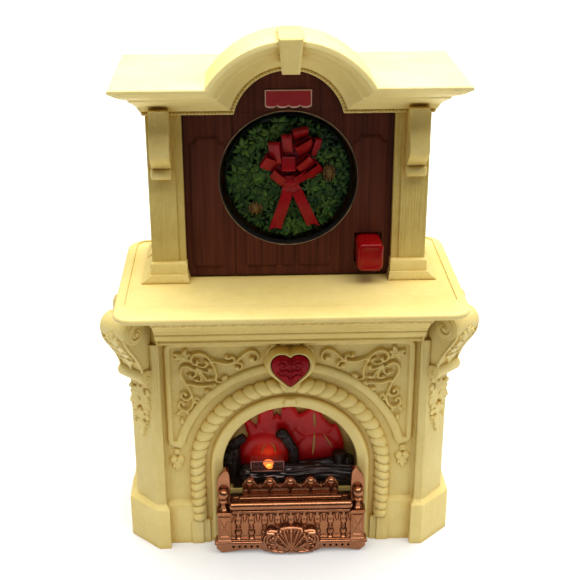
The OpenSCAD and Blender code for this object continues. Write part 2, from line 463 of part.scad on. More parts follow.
function rack_pts() = [for (k = [-6:0]) let (c = idl_y - pitch / 2 + k * pitch, h = pitch / 4 - lash / 2, t = tan(25))
  each [[rack_x + 0.65, c - h - 0.65 * t], [rack_x - 0.5, c - h + 0.5 * t], [rack_x - 0.5, c + h - 0.5 * t], [rack_x + 0.65, c + h + 0.65 * t]]];
module flip_knob() {
  color([0.8, 0.05, 0.05]) F() {
    difference() {
      union() {
        ex_x(kx - 5.2, kx + 5.2) polygon([[2.6, kz - 5.7], [17, kz - 5.9], [17, kz + 6.6], [2.6, kz + 5.7], [2, kz + 5], [2, kz - 5]]);
      }
      box(kx - 4, kx + 4, 4, 16.6, kz - 4.4, kz + 4.4);
      box(28.85, 30.5, 13.4, 19, 123, 127.5);
    }
    difference() { box(24.4, 38.4, 16.6, 18.4, 123.4, 138.2); box(24.3, 26.6, 16.5, 18.5, 123.3, 128.3); box(28.85, 30.5, 16, 19, 123, 127.5); }
    ex_z(gear_z0, gear_z1) polygon(concat([[28.8, 18.3], [rack_x + 0.65, 18.3]], rack_pts(), [[rack_x + 0.65, idl_y + 1.6], [28.8, idl_y + 1.6]]));
    rod_y(kx + 2, 132, 1.5, 18.3, 34);
  }
}
sp_r = 2.4; sp_w = 0.35; sp_n = 9;
module knob_spring() {
  ya = 18.45; yb = 45;
  p = (yb - ya - 2 * sp_w - 0.2) / sp_n;
  th = atan(p / 2 / (2 * sp_r));
  color([0.7, 0.7, 0.72]) F() translate([kx + 2, 0, 132]) union() {
    for (i = [0:sp_n - 1]) {
      translate([0, ya + sp_w + 0.1 + i * p + p / 4, 0]) rotate([-90, 0, 0]) rotate([0, -th, 0]) rotate_extrude(angle = 180, $fn = 48) translate([sp_r / cos(th), 0]) circle(r = sp_w, $fn = 16);
      translate([0, ya + sp_w + 0.1 + i * p + 3 * p / 4, 0]) rotate([-90, 0, 0]) rotate([0, th, 0]) rotate([0, 0, 180]) rotate_extrude(angle = 180, $fn = 48) translate([sp_r / cos(th), 0]) circle(r = sp_w, $fn = 16);
    }
    for (i = [0:sp_n], s = [-1, 1]) if (s > 0 || i < sp_n) translate([s * sp_r, ya + sp_w + 0.1 + i * p + (s > 0 ? 0 : p / 2), 0]) sphere(r = sp_w + 0.08, $fn = 24);
  }
}
pin_dir = atan2(disc_y - idl_y, -idl_x);
idl_off = let (q = (pin_dir + 360) / (360 / z_idl)) (round(q) - q) * 360 / z_idl;
pin_ph = pin_dir + 180 - idl_off * r_idl / r_pin + 180 / z_pin;
module idler_gear() {
  color([0.9, 0.9, 0.88]) F() translate([idl_x, idl_y, 0]) difference() {
    union() { ex_z(gear_z0, gear_z1 - 1) gear_2d(z_idl, 0.45, 0.85, lash, 0); rod_z(0, 0, 3.2, gear_z0 - 0.5, gear_z1 + 0.4); }
    rod_z(0, 0, 1.55, 100, 140);
    for (a = [30:60:330]) rotate([0, 0, a]) rod_z(8, 0, 2.4, 100, 140);
  }
}
module disc_pinion() {
  color([0.9, 0.9, 0.88]) F() translate([0, disc_y, 0]) difference() {
    union() { ex_z(gear_z0, gear_z1) gear_2d(z_pin, 0.55, 0.62, lash, pin_ph); rod_z(0, 0, 2.4, gear_z1 - e, gear_z1 + 1); }
    rod_z(0, 0, 1.25, 100, 140);
  }
}
module picture_disc() {
  color([0.08, 0.12, 0.08]) F() union() {
    rod_y(0, win_z, disc_r, disc_y - 1.5, disc_y + 1.5, $fn = 128);
    rod_z(0, disc_y, 1.25, 120.2, 134);
    rod_z(0, disc_y, 2.4, gear_z1 + 1.02, 134.4);
    rod_z(0, disc_y, 1.5, 182.8, 187.4);
  }
}
module wreath_relief() {
  color([0.06, 0.25, 0.1]) F() translate([0, disc_y - 1.5, win_z]) rotate([90, 0, 0]) rotate_extrude($fn = 96) polygon([[5, 0], [24, 0], [24, 0.8], [22.6, 1.7], [19, 2.3], [12, 2.3], [7.4, 1.7], [5, 0.6]]);
}
wy = disc_y - 1.5 - 2.3;
module ribbon_bow() {
  color([0.7, 0.1, 0.12]) F() ex_y(wy - 1.2, wy) translate([0, win_z]) union() {
    polygon([[-2, 3], [2, 0], [-3.6, -12], [-5, -21], [-7, -20], [-9.4, -20.8], [-6.6, -12]]);
    polygon([[0, 3], [4, 0], [13, -19.6], [9.8, -21], [7.8, -19.2]]);
    for (q = [[-5, 10, 4.2], [0.5, 14.2, 4], [6, 14, 4.1], [8.5, 8, 4.2], [6.5, 2.2, 4], [-3, 4.5, 4.2], [1.4, 7.4, 5.6]]) translate([q[0], q[1]]) circle(r = q[2], $fn = 36);
  }
}
module pine_cones() { color([0.45, 0.3, 0.12]) F() { ball(-12.4, wy + 0.3, 146.4, 1.9); ball(15.8, wy + 0.3, 160, 1.9); } }
module rear_picture() { color([0.5, 0.6, 0.7]) F() difference() { rod_y(0, win_z, 24, disc_y + 1.5, disc_y + 2.1, $fn = 96); } }

module disc_cage() {
  color([0.85, 0.85, 0.82]) F() difference() {
    union() {
      difference() {
        box(-41.5, 24.2, 16.55, 18.1, 119, 185.2);
        rod_y(0, win_z, 26.4, 10, 20, $fn = 128);
        box(-6, 40, 10, 20, 122.5, 130.5);
      }
      box(-10, 10, 16.55, 25.4, 184.4, 188);
      difference() { box(-8, 41.5, 16.55, 47.4, 119, 122.4); }
      box(28, 41.5, 45, 47.4, 119, 137);
      box(28.95, 30.4, 24, 45.1, 122, 127.4);
      rod_z(idl_x, idl_y, 1.5, 122, gear_z1 + 1.4);
      rod_z(idl_x, idl_y, 3, 122, gear_z0 - 0.55);
      box(-41.5, -8, 16.55, 22, 119, 121);
    }
    rod_z(0, disc_y, 1.3, 110, 125);
    rod_z(0, disc_y, 1.55, 183, 190);
    bothx() rod_y(40, 122, 1.1, 16, 22);
    rod_z(idl_x, idl_y, 0.95, gear_z1 - 4, gear_z1 + 3);
  }
}
module cage_screws() {
  color([0.6, 0.6, 0.62]) F() { difference() { rod_z(idl_x, idl_y, 2.7, gear_z1 + 1.4, gear_z1 + 2.4); translate([idl_x, idl_y, gear_z1 + 2.4]) cube([3.4, 0.6, 1], center = true); } rod_z(idl_x, idl_y, 0.9, gear_z1 - 2, gear_z1 + 1.45); }
}
module wz(x, y, a, b) { rod_z(x, y, 0.7, a, b); }
module wy_(x, z, a, b) { rod_y(x, z, 0.7, a, b); }
module wx(y, z, a, b) { rod_x(y, z, 0.7, a, b); }
module nb(x, y, z) { box(x - 1, x + 1, y - 1, y + 1, z - 1, z + 1); }
module lead_wires() {
  color([0.6, 0.1, 0.1]) F() {
    union() { wz(-9, 9.2, 9, 13.9); nb(-9, 9.2, 9); wy_(-9, 9, 9.2, 28); nb(-9, 28, 9); wz(-9, 28, 9, 88); nb(-9, 28, 88); wy_(-9, 88, 13.7, 28); }
    union() { wz(12, 40, 47.1, 80); nb(12, 40, 80); wy_(12, 80, 15.5, 40); }
    union() { wy_(2, 88, 13.7, 45.2); nb(2, 45.2, 88); wz(2, 45.2, 80, 88); nb(2, 45.2, 80); }
  }
}

surround_front();
mantel_shelf();
overmantel_frame();
overmantel_panel();
badge_plate();
lower_rear_shell();
upper_rear_cover();
firebox_liner();
flame_panel();
log_set();
lamp();
lamp_holder();
lamp_window();
fire_grate();
heart_button();
heart_pad();
circuit_board();
speaker();
batteries();
battery_contacts();
battery_door();
door_screws();
case_screws();
cover_screws();
cage_screws();
shelf_screws();
flip_knob();
knob_spring();
idler_gear();
disc_pinion();
picture_disc();
wreath_relief();
ribbon_bow();
pine_cones();
rear_picture();
disc_cage();
lead_wires();
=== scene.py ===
import math
import random

import bpy
import bmesh
import numpy as np
from mathutils import Matrix, Vector


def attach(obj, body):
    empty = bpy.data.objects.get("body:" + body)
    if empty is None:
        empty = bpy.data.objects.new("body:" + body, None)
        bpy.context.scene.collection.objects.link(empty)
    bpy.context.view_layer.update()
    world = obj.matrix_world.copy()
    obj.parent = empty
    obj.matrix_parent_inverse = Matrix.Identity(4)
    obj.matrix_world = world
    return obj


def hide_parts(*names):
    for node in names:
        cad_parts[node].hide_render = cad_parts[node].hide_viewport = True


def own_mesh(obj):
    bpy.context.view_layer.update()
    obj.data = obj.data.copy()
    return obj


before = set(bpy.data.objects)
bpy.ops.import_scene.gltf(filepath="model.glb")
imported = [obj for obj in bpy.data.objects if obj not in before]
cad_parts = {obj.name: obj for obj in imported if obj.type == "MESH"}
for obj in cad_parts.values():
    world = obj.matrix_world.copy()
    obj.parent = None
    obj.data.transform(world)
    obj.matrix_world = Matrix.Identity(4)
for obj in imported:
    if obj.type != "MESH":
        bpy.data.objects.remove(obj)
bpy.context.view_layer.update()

RNG = np.random.default_rng(7)
random.seed(7)
pi = math.pi

# ---------------------------------------------------------------- helpers
# All shapes are written in millimetres with Y = 0 at the plinth face; the frame has Y = 0 15 mm further back.
Y0 = -15.0


def to_m(V):
    V = np.array(V, dtype=float).reshape(-1, 3)
    V[:, 1] += Y0
    return V * 0.001


def add(name, V, F, mat, body="housing", slot=None, sharp=35, bevel=0, seg=3, flat=False, weighted=False):
    me = bpy.data.meshes.new(name)
    F = F.tolist() if isinstance(F, np.ndarray) else F
    me.from_pydata(to_m(V).tolist(), [], F)
    me.validate()
    me.update()
    if not flat:
        me.polygons.foreach_set("use_smooth", [True] * len(me.polygons))
        if sharp and not bevel:
            me.set_sharp_from_angle(angle=math.radians(sharp))
    ob = bpy.data.objects.new(name, me)
    bpy.context.scene.collection.objects.link(ob)
    me.materials.append(mat)
    if bevel:
        m = ob.modifiers.new("edge", "BEVEL")
        m.width = bevel * 0.001
        m.segments = seg
        m.limit_method = "ANGLE"
        m.angle_limit = math.radians(28)
        m.harden_normals = True
        m.miter_outer = "MITER_ARC"
    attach(ob, body)
    return ob


class Mesh:
    """Collects several closed shapes in one piece."""

    def __init__(s):
        s.V, s.F, s.n = [], [], 0

    def put(s, V, F):
        V = np.asarray(V, float).reshape(-1, 3)
        s.V.append(V)
        n = s.n
        if isinstance(F, np.ndarray):
            s.F.extend((F + n).tolist())
        else:
            s.F.extend([[i + n for i in f] for f in F])
        s.n += len(V)
        return s

    def mirror(s):
        """Adds the mirror image in X of everything so far."""
        V = np.vstack(s.V).copy()
        V[:, 0] *= -1
        F = [list(reversed(f)) for f in s.F]
        s.V.append(V)
        s.F.extend([[i + s.n for i in f] for f in F])
        s.n += len(V)
        return s

    def add(s, name, mat, **k):
        return add(name, np.vstack(s.V), s.F, mat, **k)


def signed_area(p):
    p = np.asarray(p, float)
    q = np.roll(p, -1, axis=0)
    return 0.5 * float(np.sum(p[:, 0] * q[:, 1] - q[:, 0] * p[:, 1]))


def prism(poly, a, b, axis="z"):
    """Closed prism. axis z: poly (x,y); y: poly (x,z), from Y a to b; x: poly (y,z)."""
    p = [tuple(q) for q in poly]
    if signed_area(p) < 0:
        p = p[::-1]
    n = len(p)
    if axis == "z":
        V = [(x, y, a) for x, y in p] + [(x, y, b) for x, y in p]
        flip = False
    elif axis == "y":
        V = [(x, a, z) for x, z in p] + [(x, b, z) for x, z in p]
        flip = True
    else:
        V = [(a, y, z) for y, z in p] + [(b, y, z) for y, z in p]
        flip = False
    F = [list(range(n))[::-1], list(range(n, 2 * n))]
    F += [[i, (i + 1) % n, n + (i + 1) % n, n + i] for i in range(n)]
    if flip:
        F = [f[::-1] for f in F]
    return np.array(V, float), F


def boxm(x0, x1, y0, y1, z0, z1):
    return prism([(x0, y0), (x1, y0), (x1, y1), (x0, y1)], z0, z1, "z")


def loft(rings, caps=True, closed=True):
    """rings: list of same-length point lists. closed: ring loops round."""
    n = len(rings[0])
    V = np.array([p for r in rings for p in r], float)
    F = []
    m = n if closed else n - 1
    for k in range(len(rings) - 1):
        for i in range(m):
            j = (i + 1) % n
            F.append([k * n + i, k * n + j, (k + 1) * n + j, (k + 1) * n + i])
    if caps:
        F.append(list(range(n))[::-1])
        F.append([(len(rings) - 1) * n + i for i in range(n)])
    return V, F


def out_normals(V, F):
    """Turns the faces of a closed shape so that its volume is positive."""
    V = np.asarray(V, float)
    vol = 0.0
    for f in F:
        for k in range(1, len(f) - 1):
            vol += float(np.dot(V[f[0]], np.cross(V[f[k]], V[f[k + 1]])))
    return F if vol >= 0 else [list(f)[::-1] for f in F]


def lathe(prof, n=48, origin=(0, 0, 0), axis="z"):
    """prof: (r, h) list from bottom to top. Closed at both ends."""
    prof = [(max(r, 0.001), h) for r, h in prof]
    V = []
    for r, h in prof:
        for i in range(n):
            a = 2 * pi * i / n
            V.append((r * math.cos(a), r * math.sin(a), h))
    V = np.array(V)
    F = []
    for k in range(len(prof) - 1):
        for i in range(n):
            j = (i + 1) % n
            F.append([k * n + i, k * n + j, (k + 1) * n + j, (k + 1) * n + i])
    F.append(list(range(n))[::-1])
    F.append([(len(prof) - 1) * n + i for i in range(n)])
    if axis == "y":  # height along -Y, towards the viewer
        V = np.stack([V[:, 0], -V[:, 2], V[:, 1]], axis=1)
    elif axis == "x":
        V = np.stack([V[:, 2], V[:, 0], V[:, 1]], axis=1)
    return V + np.array(origin, float), out_normals(V, F)


def ballm(c, r, n=20, sc=(1, 1, 1)):
    prof = [(r * math.sin(pi * k / (n // 2)), -r * math.cos(pi * k / (n // 2))) for k in range(n // 2 + 1)]
    V, F = lathe(prof, n)
    return V * np.array(sc) + np.array(c, float), F


def crom(pts, step=0.15):
    """Smooth curve through the points, at even small steps."""
    p = np.array(pts, float)
    if len(p) == 2:
        n = max(2, int(np.linalg.norm(p[1] - p[0]) / step) + 1)
        return p[0] + (p[1] - p[0]) * np.linspace(0, 1, n)[:, None]
    q = np.vstack([2 * p[0] - p[1], p, 2 * p[-1] - p[-2]])
    out = []
    for i in range(1, len(q) - 2):
        a, b, c, d = q[i - 1], q[i], q[i + 1], q[i + 2]
        n = max(2, int(np.linalg.norm(c - b) / step) + 1)
        t = np.linspace(0, 1, n, endpoint=False)[:, None]
        out.append(0.5 * (2 * b + (c - a) * t + (2 * a - 5 * b + 4 * c - d) * t ** 2 + (3 * b - a - 3 * c + d) * t ** 3))
    out.append(p[-1:])
    return np.vstack(out)


def tube(pts, rad, n=12, step=0.3, smooth=True):
    """Round closed tube through the points; rad is a number, or a function of 0..1."""
    P = crom(pts, step) if smooth else np.array(pts, float)
    m = len(P)
    T = np.gradient(P, axis=0)
    T /= np.linalg.norm(T, axis=1)[:, None] + 1e-12
    u = np.cross(T[0], (0.3, 0.9, 0.31))
    u /= np.linalg.norm(u)
    rings = []
    for i in range(m):
        u = u - T[i] * np.dot(u, T[i])
        u /= np.linalg.norm(u) + 1e-12
        w = np.cross(T[i], u)
        r = rad(i / (m - 1)) if callable(rad) else rad
        rings.append([tuple(P[i] + r * (math.cos(2 * pi * k / n) * u + math.sin(2 * pi * k / n) * w)) for k in range(n)])
    V, F = loft(rings)
    return V, out_normals(V, F)


def gblur(H, sigma):
    if sigma <= 0:
        return H
    n = max(1, int(3 * sigma))
    k = np.exp(-0.5 * (np.arange(-n, n + 1) / sigma) ** 2)
    k /= k.sum()
    for ax in (0, 1):
        pad = [(0, 0), (0, 0)]
        pad[ax] = (n, n)
        G = np.pad(H, pad, mode="edge")
        out = np.zeros_like(H)
        for i, w in enumerate(k):
            sl = [slice(None), slice(None)]
            sl[ax] = slice(i, i + H.shape[ax])
            out += w * G[tuple(sl)]
        H = out
    return H


class Field:
    """A height map in millimetres over a flat patch, cut from strokes, leaves and discs."""

    def __init__(s, u0, u1, v0, v1, res):
        s.nu, s.nv = int(round((u1 - u0) / res)) + 1, int(round((v1 - v0) / res)) + 1
        s.u, s.v = np.linspace(u0, u1, s.nu), np.linspace(v0, v1, s.nv)
        s.U, s.V = np.meshgrid(s.u, s.v, indexing="ij")
        s.H = np.zeros_like(s.U)
        s.res = res

    def win(s, x, y, r):
        i0, i1 = np.searchsorted(s.u, [x - r, x + r])
        j0, j1 = np.searchsorted(s.v, [y - r, y + r])
        return slice(max(i0 - 1, 0), i1 + 1), slice(max(j0 - 1, 0), j1 + 1)

    def stroke(s, pts, w0, h0, w1=None, h1=None, power=0.6, wm=None, base=None):
        P = crom(pts, s.res * 0.7)
        w1 = w0 if w1 is None else w1
        h1 = h0 if h1 is None else h1
        n = len(P)
        for k in range(n):
            t = k / max(n - 1, 1)
            w = w0 + (w1 - w0) * t
            if wm is not None:
                w += (wm - 0.5 * (w0 + w1)) * math.sin(pi * t)
            h = h0 + (h1 - h0) * t
            sl = s.win(P[k, 0], P[k, 1], w)
            d = ((s.U[sl] - P[k, 0]) ** 2 + (s.V[sl] - P[k, 1]) ** 2) / (w * w)
            s.H[sl] = np.maximum(s.H[sl], h * np.clip(1 - d, 0, 1) ** power)
        return s

    def curl(s, c, r0, r1, a0, turns, w, h, w1=None):
        """Spiral stroke from radius r0 at angle a0 (degrees) inward to r1."""
        n = 26
        pts = []
        for k in range(n):
            t = k / (n - 1)
            r = r0 + (r1 - r0) * t ** 0.85
            a = math.radians(a0 + 360 * turns * t)
            pts.append((c[0] + r * math.cos(a), c[1] + r * math.sin(a)))
        return s.stroke(pts, w, h, w1 or w * 0.8)

    def ball(s, x, y, r, h, power=0.5):
        sl = s.win(x, y, r)
        d = ((s.U[sl] - x) ** 2 + (s.V[sl] - y) ** 2) / (r * r)
        s.H[sl] = np.maximum(s.H[sl], h * np.clip(1 - d, 0, 1) ** power)
        return s

    def leaf(s, x, y, ang, L, W, h, crease=0.35, tip=0.35):
        """Pointed leaf from (x, y), with a cut vein; its tip is lower than its middle."""
        a = math.radians(ang)
        ca, sa = math.cos(a), math.sin(a)
        sl = s.win(x + ca * L / 2, y + sa * L / 2, L / 2 + W)
        du, dv = s.U[sl] - x, s.V[sl] - y
        p, q = du * ca + dv * sa, -du * sa + dv * ca
        t = np.clip(p / L, 0, 1)
        wl = W * np.clip(np.sin(pi * np.clip(t, 0.0, 1) ** 0.8), 0, 1) ** 0.75 + 1e-6
        ins = (p > 0) & (p < L)
        body = np.clip(1 - (q / wl) ** 2, 0, 1) ** 0.5 * (1 - tip * t)
        body -= crease * np.exp(-(q / 0.16) ** 2) * np.clip(1 - t, 0, 1)
        s.H[sl] = np.maximum(s.H[sl], np.where(ins & (np.abs(q) < wl), h * np.clip(body, 0, 1), 0))
        return s

    def blur(s, mm):
        s.H = gblur(s.H, mm / s.res)
        return s


def inside(poly, X, Z):
    poly = np.asarray(poly, float)
    r = np.zeros(X.shape, bool)
    x1, y1 = poly[-1]
    for x2, y2 in poly:
        c = ((y1 > Z) != (y2 > Z))
        with np.errstate(divide="ignore", invalid="ignore"):
            xi = (x2 - x1) * (Z - y1) / (y2 - y1) + x1
        r ^= c & (X < xi)
        x1, y1 = x2, y2
    return r


def near(poly, P):
    """Nearest points on a closed outline, and the distances."""
    A = np.asarray(poly, float)
    B = np.roll(A, -1, axis=0)
    best = np.full(len(P), 1e9)
    Q = P.copy()
    for a, b in zip(A, B):
        d = b - a
        L = float(d @ d)
        if L < 1e-12:
            continue
        t = np.clip(((P - a) @ d) / L, 0, 1)
        C = a + t[:, None] * d
        e = np.linalg.norm(P - C, axis=1)
        m = e < best
        best[m] = e[m]
        Q[m] = C[m]
    return Q, best


def sheet_mesh(fd, place, mask=None, polys=None, back=1.0, hold=None):
    """Closed slab from a field: front at the heights, back flat at -back. place(u, v, h) gives F-frame points.
    polys: outlines that the edge of the kept area is pulled onto."""
    nu, nv = fd.nu, fd.nv
    if mask is None:
        mask = np.ones((nu, nv), bool)
    cell = mask[:-1, :-1] & mask[1:, :-1] & mask[:-1, 1:] & mask[1:, 1:]
    idx = -np.ones((nu, nv), int)
    used = np.zeros((nu, nv), bool)
    used[:-1, :-1] |= cell
    used[1:, :-1] |= cell
    used[:-1, 1:] |= cell
    used[1:, 1:] |= cell
    idx[used] = np.arange(used.sum())
    U, V, H = fd.U[used].copy(), fd.V[used].copy(), fd.H[used].copy()
    n = len(U)
    i, j = np.nonzero(cell)
    a, b, c, d = idx[i, j], idx[i + 1, j], idx[i + 1, j + 1], idx[i, j + 1]
    Ft = np.stack([a, b, c, d], axis=1)
    # edges on the border
    E = np.vstack([Ft[:, [0, 1]], Ft[:, [1, 2]], Ft[:, [2, 3]], Ft[:, [3, 0]]])
    key = np.sort(E, axis=1)
    kk = key[:, 0].astype(np.int64) * n + key[:, 1]
    uq, inv, cnt = np.unique(kk, return_inverse=True, return_counts=True)
    border = E[cnt[inv] == 1]
    if polys is not None:
        bv = np.unique(border)
        P = np.stack([U[bv], V[bv]], axis=1)
        bestd = np.full(len(bv), 1e9)
        bestq = P.copy()
        for poly in polys:
            Q, e = near(poly, P)
            m = e < bestd
            bestd[m] = e[m]
            bestq[m] = Q[m]
        m = bestd < fd.res * 2.2
        U[bv[m]], V[bv[m]] = bestq[m, 0], bestq[m, 1]
    top = place(U, V, H)
    bot = place(U, V, np.full(n, -back))
    VV = np.vstack([top, bot])
    Fb = Ft[:, ::-1] + n
    Fs = np.stack([border[:, 1], border[:, 0], border[:, 0] + n, border[:, 1] + n], axis=1)
    return VV, np.vstack([Ft, Fb, Fs])


def on_front(y):
    """Place on a plane facing the viewer at Y = y; heights come towards the viewer."""
    return lambda u, v, h: np.stack([u, y - h, v], axis=1)


CH = math.radians(42.5)


def chamf(side=1):
    """Place on the corner chamfer: u along the face (outwards), v up, h out."""
    c, s = math.cos(CH), math.sin(CH)

    def f(u, v, h):
        u, v, h = np.broadcast_arrays(np.asarray(u, float), np.asarray(v, float), np.asarray(h, float))
        x = 60.5 + c * u + s * h
        y = 3.5 + s * u - c * h
        return np.stack([side * x, y, v], axis=-1).reshape(-1, 3)

    return f


def mir(V, F):
    V = np.asarray(V, float).copy()
    V[:, 0] *= -1
    F = F[:, ::-1] if isinstance(F, np.ndarray) else [list(f)[::-1] for f in F]
    return V, F


def fbm(X, Y, Z, seed=0, octaves=4, f=1.0):
    """Cheap smooth value noise built from turned sines."""
    r = np.random.default_rng(seed)
    out = np.zeros(np.shape(X))
    amp, tot = 1.0, 0.0
    for o in range(octaves):
        for _ in range(5):
            k = r.normal(size=3)
            k /= np.linalg.norm(k)
            ph = r.uniform(0, 2 * pi)
            out = out + amp * np.sin(f * (X * k[0] + Y * k[1] + Z * k[2]) * (0.7 + 0.6 * r.uniform()) + ph)
        tot += amp * 5
        amp *= 0.55
        f *= 2.1
    return out / tot * 2.2

# ---------------------------------------------------------------- materials


class Nodes:
    """Small helper to build a node material."""

    def __init__(s, name):
        s.m = bpy.data.materials.new(name)
        s.m.use_nodes = True
        s.t = s.m.node_tree
        s.t.nodes.clear()
        s.out = s.t.nodes.new("ShaderNodeOutputMaterial")
        s.bsdf = s.t.nodes.new("ShaderNodeBsdfPrincipled")
        s.t.links.new(s.bsdf.outputs[0], s.out.inputs[0])
        s.co = s.t.nodes.new("ShaderNodeTexCoord").outputs["Object"]

    def n(s, kind, **k):
        o = s.t.nodes.new(kind)
        for a, b in k.items():
            setattr(o, a, b)
        return o

    def link(s, a, b):
        s.t.links.new(a, b)

    def mapping(s, scale=(1, 1, 1), rot=(0, 0, 0), loc=(0, 0, 0)):
        m = s.n("ShaderNodeMapping")
        m.inputs["Scale"].default_value = scale
        m.inputs["Rotation"].default_value = rot
        m.inputs["Location"].default_value = loc
        s.link(s.co, m.inputs["Vector"])
        return m.outputs[0]

    def noise(s, scale, detail=3, rough=0.5, vec=None, dist=0.0):
        m = s.n("ShaderNodeTexNoise")
        m.inputs["Scale"].default_value = scale
        m.inputs["Detail"].default_value = detail
        m.inputs["Roughness"].default_value = rough
        m.inputs["Distortion"].default_value = dist
        s.link(vec if vec is not None else s.co, m.inputs["Vector"])
        return m.outputs["Fac"]

    def ramp(s, fac, stops):
        m = s.n("ShaderNodeValToRGB")
        e = m.color_ramp.elements
        while len(e) > 1:
            e.remove(e[-1])
        e[0].position = stops[0][0]
        e[0].color = (*stops[0][1], 1) if len(stops[0][1]) == 3 else stops[0][1]
        for p, c in stops[1:]:
            q = e.new(p)
            q.color = (*c, 1) if len(c) == 3 else c
        s.link(fac, m.inputs[0])
        return m.outputs[0]

    def mix(s, fac, a, b, mode="MIX"):
        m = s.n("ShaderNodeMix", data_type="RGBA", blend_type=mode)
        if isinstance(fac, (int, float)):
            m.inputs[0].default_value = fac
        else:
            s.link(fac, m.inputs[0])
        for k, v in ((6, a), (7, b)):
            if isinstance(v, tuple):
                m.inputs[k].default_value = (*v, 1) if len(v) == 3 else v
            else:
                s.link(v, m.inputs[k])
        return m.outputs[2]

    def maths(s, op, a, b=None, c=None, clamp=False):
        m = s.n("ShaderNodeMath", operation=op)
        m.use_clamp = clamp
        for k, v in enumerate((a, b, c)):
            if v is None:
                continue
            if isinstance(v, (int, float)):
                m.inputs[k].default_value = v
            else:
                s.link(v, m.inputs[k])
        return m.outputs[0]

    def rng(s, v, a, b, c, d):
        m = s.n("ShaderNodeMapRange")
        for k, x in zip((1, 2, 3, 4), (a, b, c, d)):
            m.inputs[k].default_value = x
        s.link(v, m.inputs[0])
        return m.outputs[0]

    def ao(s, dist, samples=4):
        m = s.n("ShaderNodeAmbientOcclusion")
        m.samples = samples
        m.inputs["Distance"].default_value = dist
        return m.outputs["AO"]

    def bump(s, height, strength, distance, normal=None):
        m = s.n("ShaderNodeBump")
        m.inputs["Strength"].default_value = strength
        m.inputs["Distance"].default_value = distance
        s.link(height, m.inputs["Height"])
        if normal is not None:
            s.link(normal, m.inputs["Normal"])
        return m.outputs[0]

    def set(s, name, v):
        if isinstance(v, (int, float)):
            s.bsdf.inputs[name].default_value = v
        elif isinstance(v, tuple):
            s.bsdf.inputs[name].default_value = (*v, 1) if len(v) == 3 and s.bsdf.inputs[name].type == "RGBA" else v
        else:
            s.link(v, s.bsdf.inputs[name])


def cream(name, grain=0.0, light=(0.80, 0.665, 0.285), dark=(0.72, 0.575, 0.215), ao_shade_col=(0.60, 0.375, 0.050), ao_d=0.0042, axis="z"):
    """Aged cream moulding: soft mottling, painted shade in the hollows (a tan colour mixed in by ambient occlusion), a
    satin skin and, where asked, wood grain.
    """
    k = Nodes(name)
    mott = k.noise(38, 4, 0.6)
    fine = k.noise(420, 3, 0.6)
    col = k.mix(k.rng(mott, 0.35, 0.68, 0, 1), light, dark)
    col = k.mix(k.rng(fine, 0.3, 0.7, 0.0, 0.16), col, (0.86, 0.76, 0.42))
    # painted shade: ambient occlusion, its edge jittered by noise, mixes the tan shade colour into the hollows
    occ = k.ao(ao_d)
    shade_jitter = k.noise(150, 4, 0.65)
    occ2 = k.maths("ADD", occ, k.rng(shade_jitter, 0.3, 0.7, -0.12, 0.12))
    col = k.mix(k.rng(occ2, 0.30, 0.86, 0.80, 0.0), col, ao_shade_col)
    specks = k.ramp(k.noise(900, 2, 0.5), [(0.0, (0, 0, 0)), (0.735, (0, 0, 0)), (0.76, (1, 1, 1))])
    col = k.mix(k.maths("MULTIPLY", specks, 0.30), col, (0.26, 0.18, 0.07))
    k.set("Base Color", col)
    k.set("Roughness", k.rng(k.noise(90, 4, 0.6), 0.3, 0.75, 0.38, 0.54))
    k.set("Specular IOR Level", 0.32)
    k.set("Subsurface Weight", 0.06)
    k.set("Subsurface Radius", (0.004, 0.003, 0.0014))
    k.set("Subsurface Scale", 0.5)
    orange = k.bump(k.noise(1500, 2, 0.5), 0.10, 0.00018)
    wavy = k.bump(k.noise(110, 2, 0.5), 0.12, 0.0006, orange)
    if grain:
        sc = {"z": (1.0, 1.0, 0.035), "x": (0.035, 1.0, 1.0)}[axis]
        g = k.noise(1150, 4, 0.62, k.mapping(sc), 0.25)
        g2 = k.noise(420, 3, 0.6, k.mapping(sc, loc=(0.3, 0.2, 0.1)), 0.4)
        gg = k.maths("ADD", k.rng(g, 0.36, 0.62, 0, 0.6), k.rng(g2, 0.35, 0.65, 0, 0.6))
        nb = k.bump(gg, 0.80 * grain, 0.00034, wavy)
        k.set("Normal", nb)
    else:
        k.set("Normal", wavy)
    return k.m


CREAM = cream("cream_moulding")
CREAM_G = cream("cream_moulding_grained", 1.0)
CREAM_F = cream("cream_moulding_fine_grain", 0.45)
# darker copy of the cream: painted shade for the pillars under the cornice
CREAM_PILLAR_SHADED = cream("cream_moulding_pillar_painted_shade", 1.1, light=(0.71, 0.575, 0.215), dark=(0.61, 0.475, 0.145))
# darker copy with its grain along X: painted shade for the bed moulding under the shelf
CREAM_BED_SHADED = cream("cream_moulding_long_grain_painted_shade", 0.5, axis="x", light=(0.76, 0.62, 0.24), dark=(0.66, 0.51, 0.17))
# lighter copies of the cream: painted light for the lit cornice and arch hood
CREAM_CORNICE_LIT = cream("cream_moulding_cornice_painted_light", 0.5, axis="x", light=(0.89, 0.77, 0.375), dark=(0.82, 0.69, 0.30))
CREAM_HOOD_LIT = cream("cream_moulding_hood_painted_light", 0.3, light=(0.89, 0.77, 0.375), dark=(0.82, 0.69, 0.30))
CREAM_TOP = cream("cream_moulding_shelf", 0.25, axis="x")


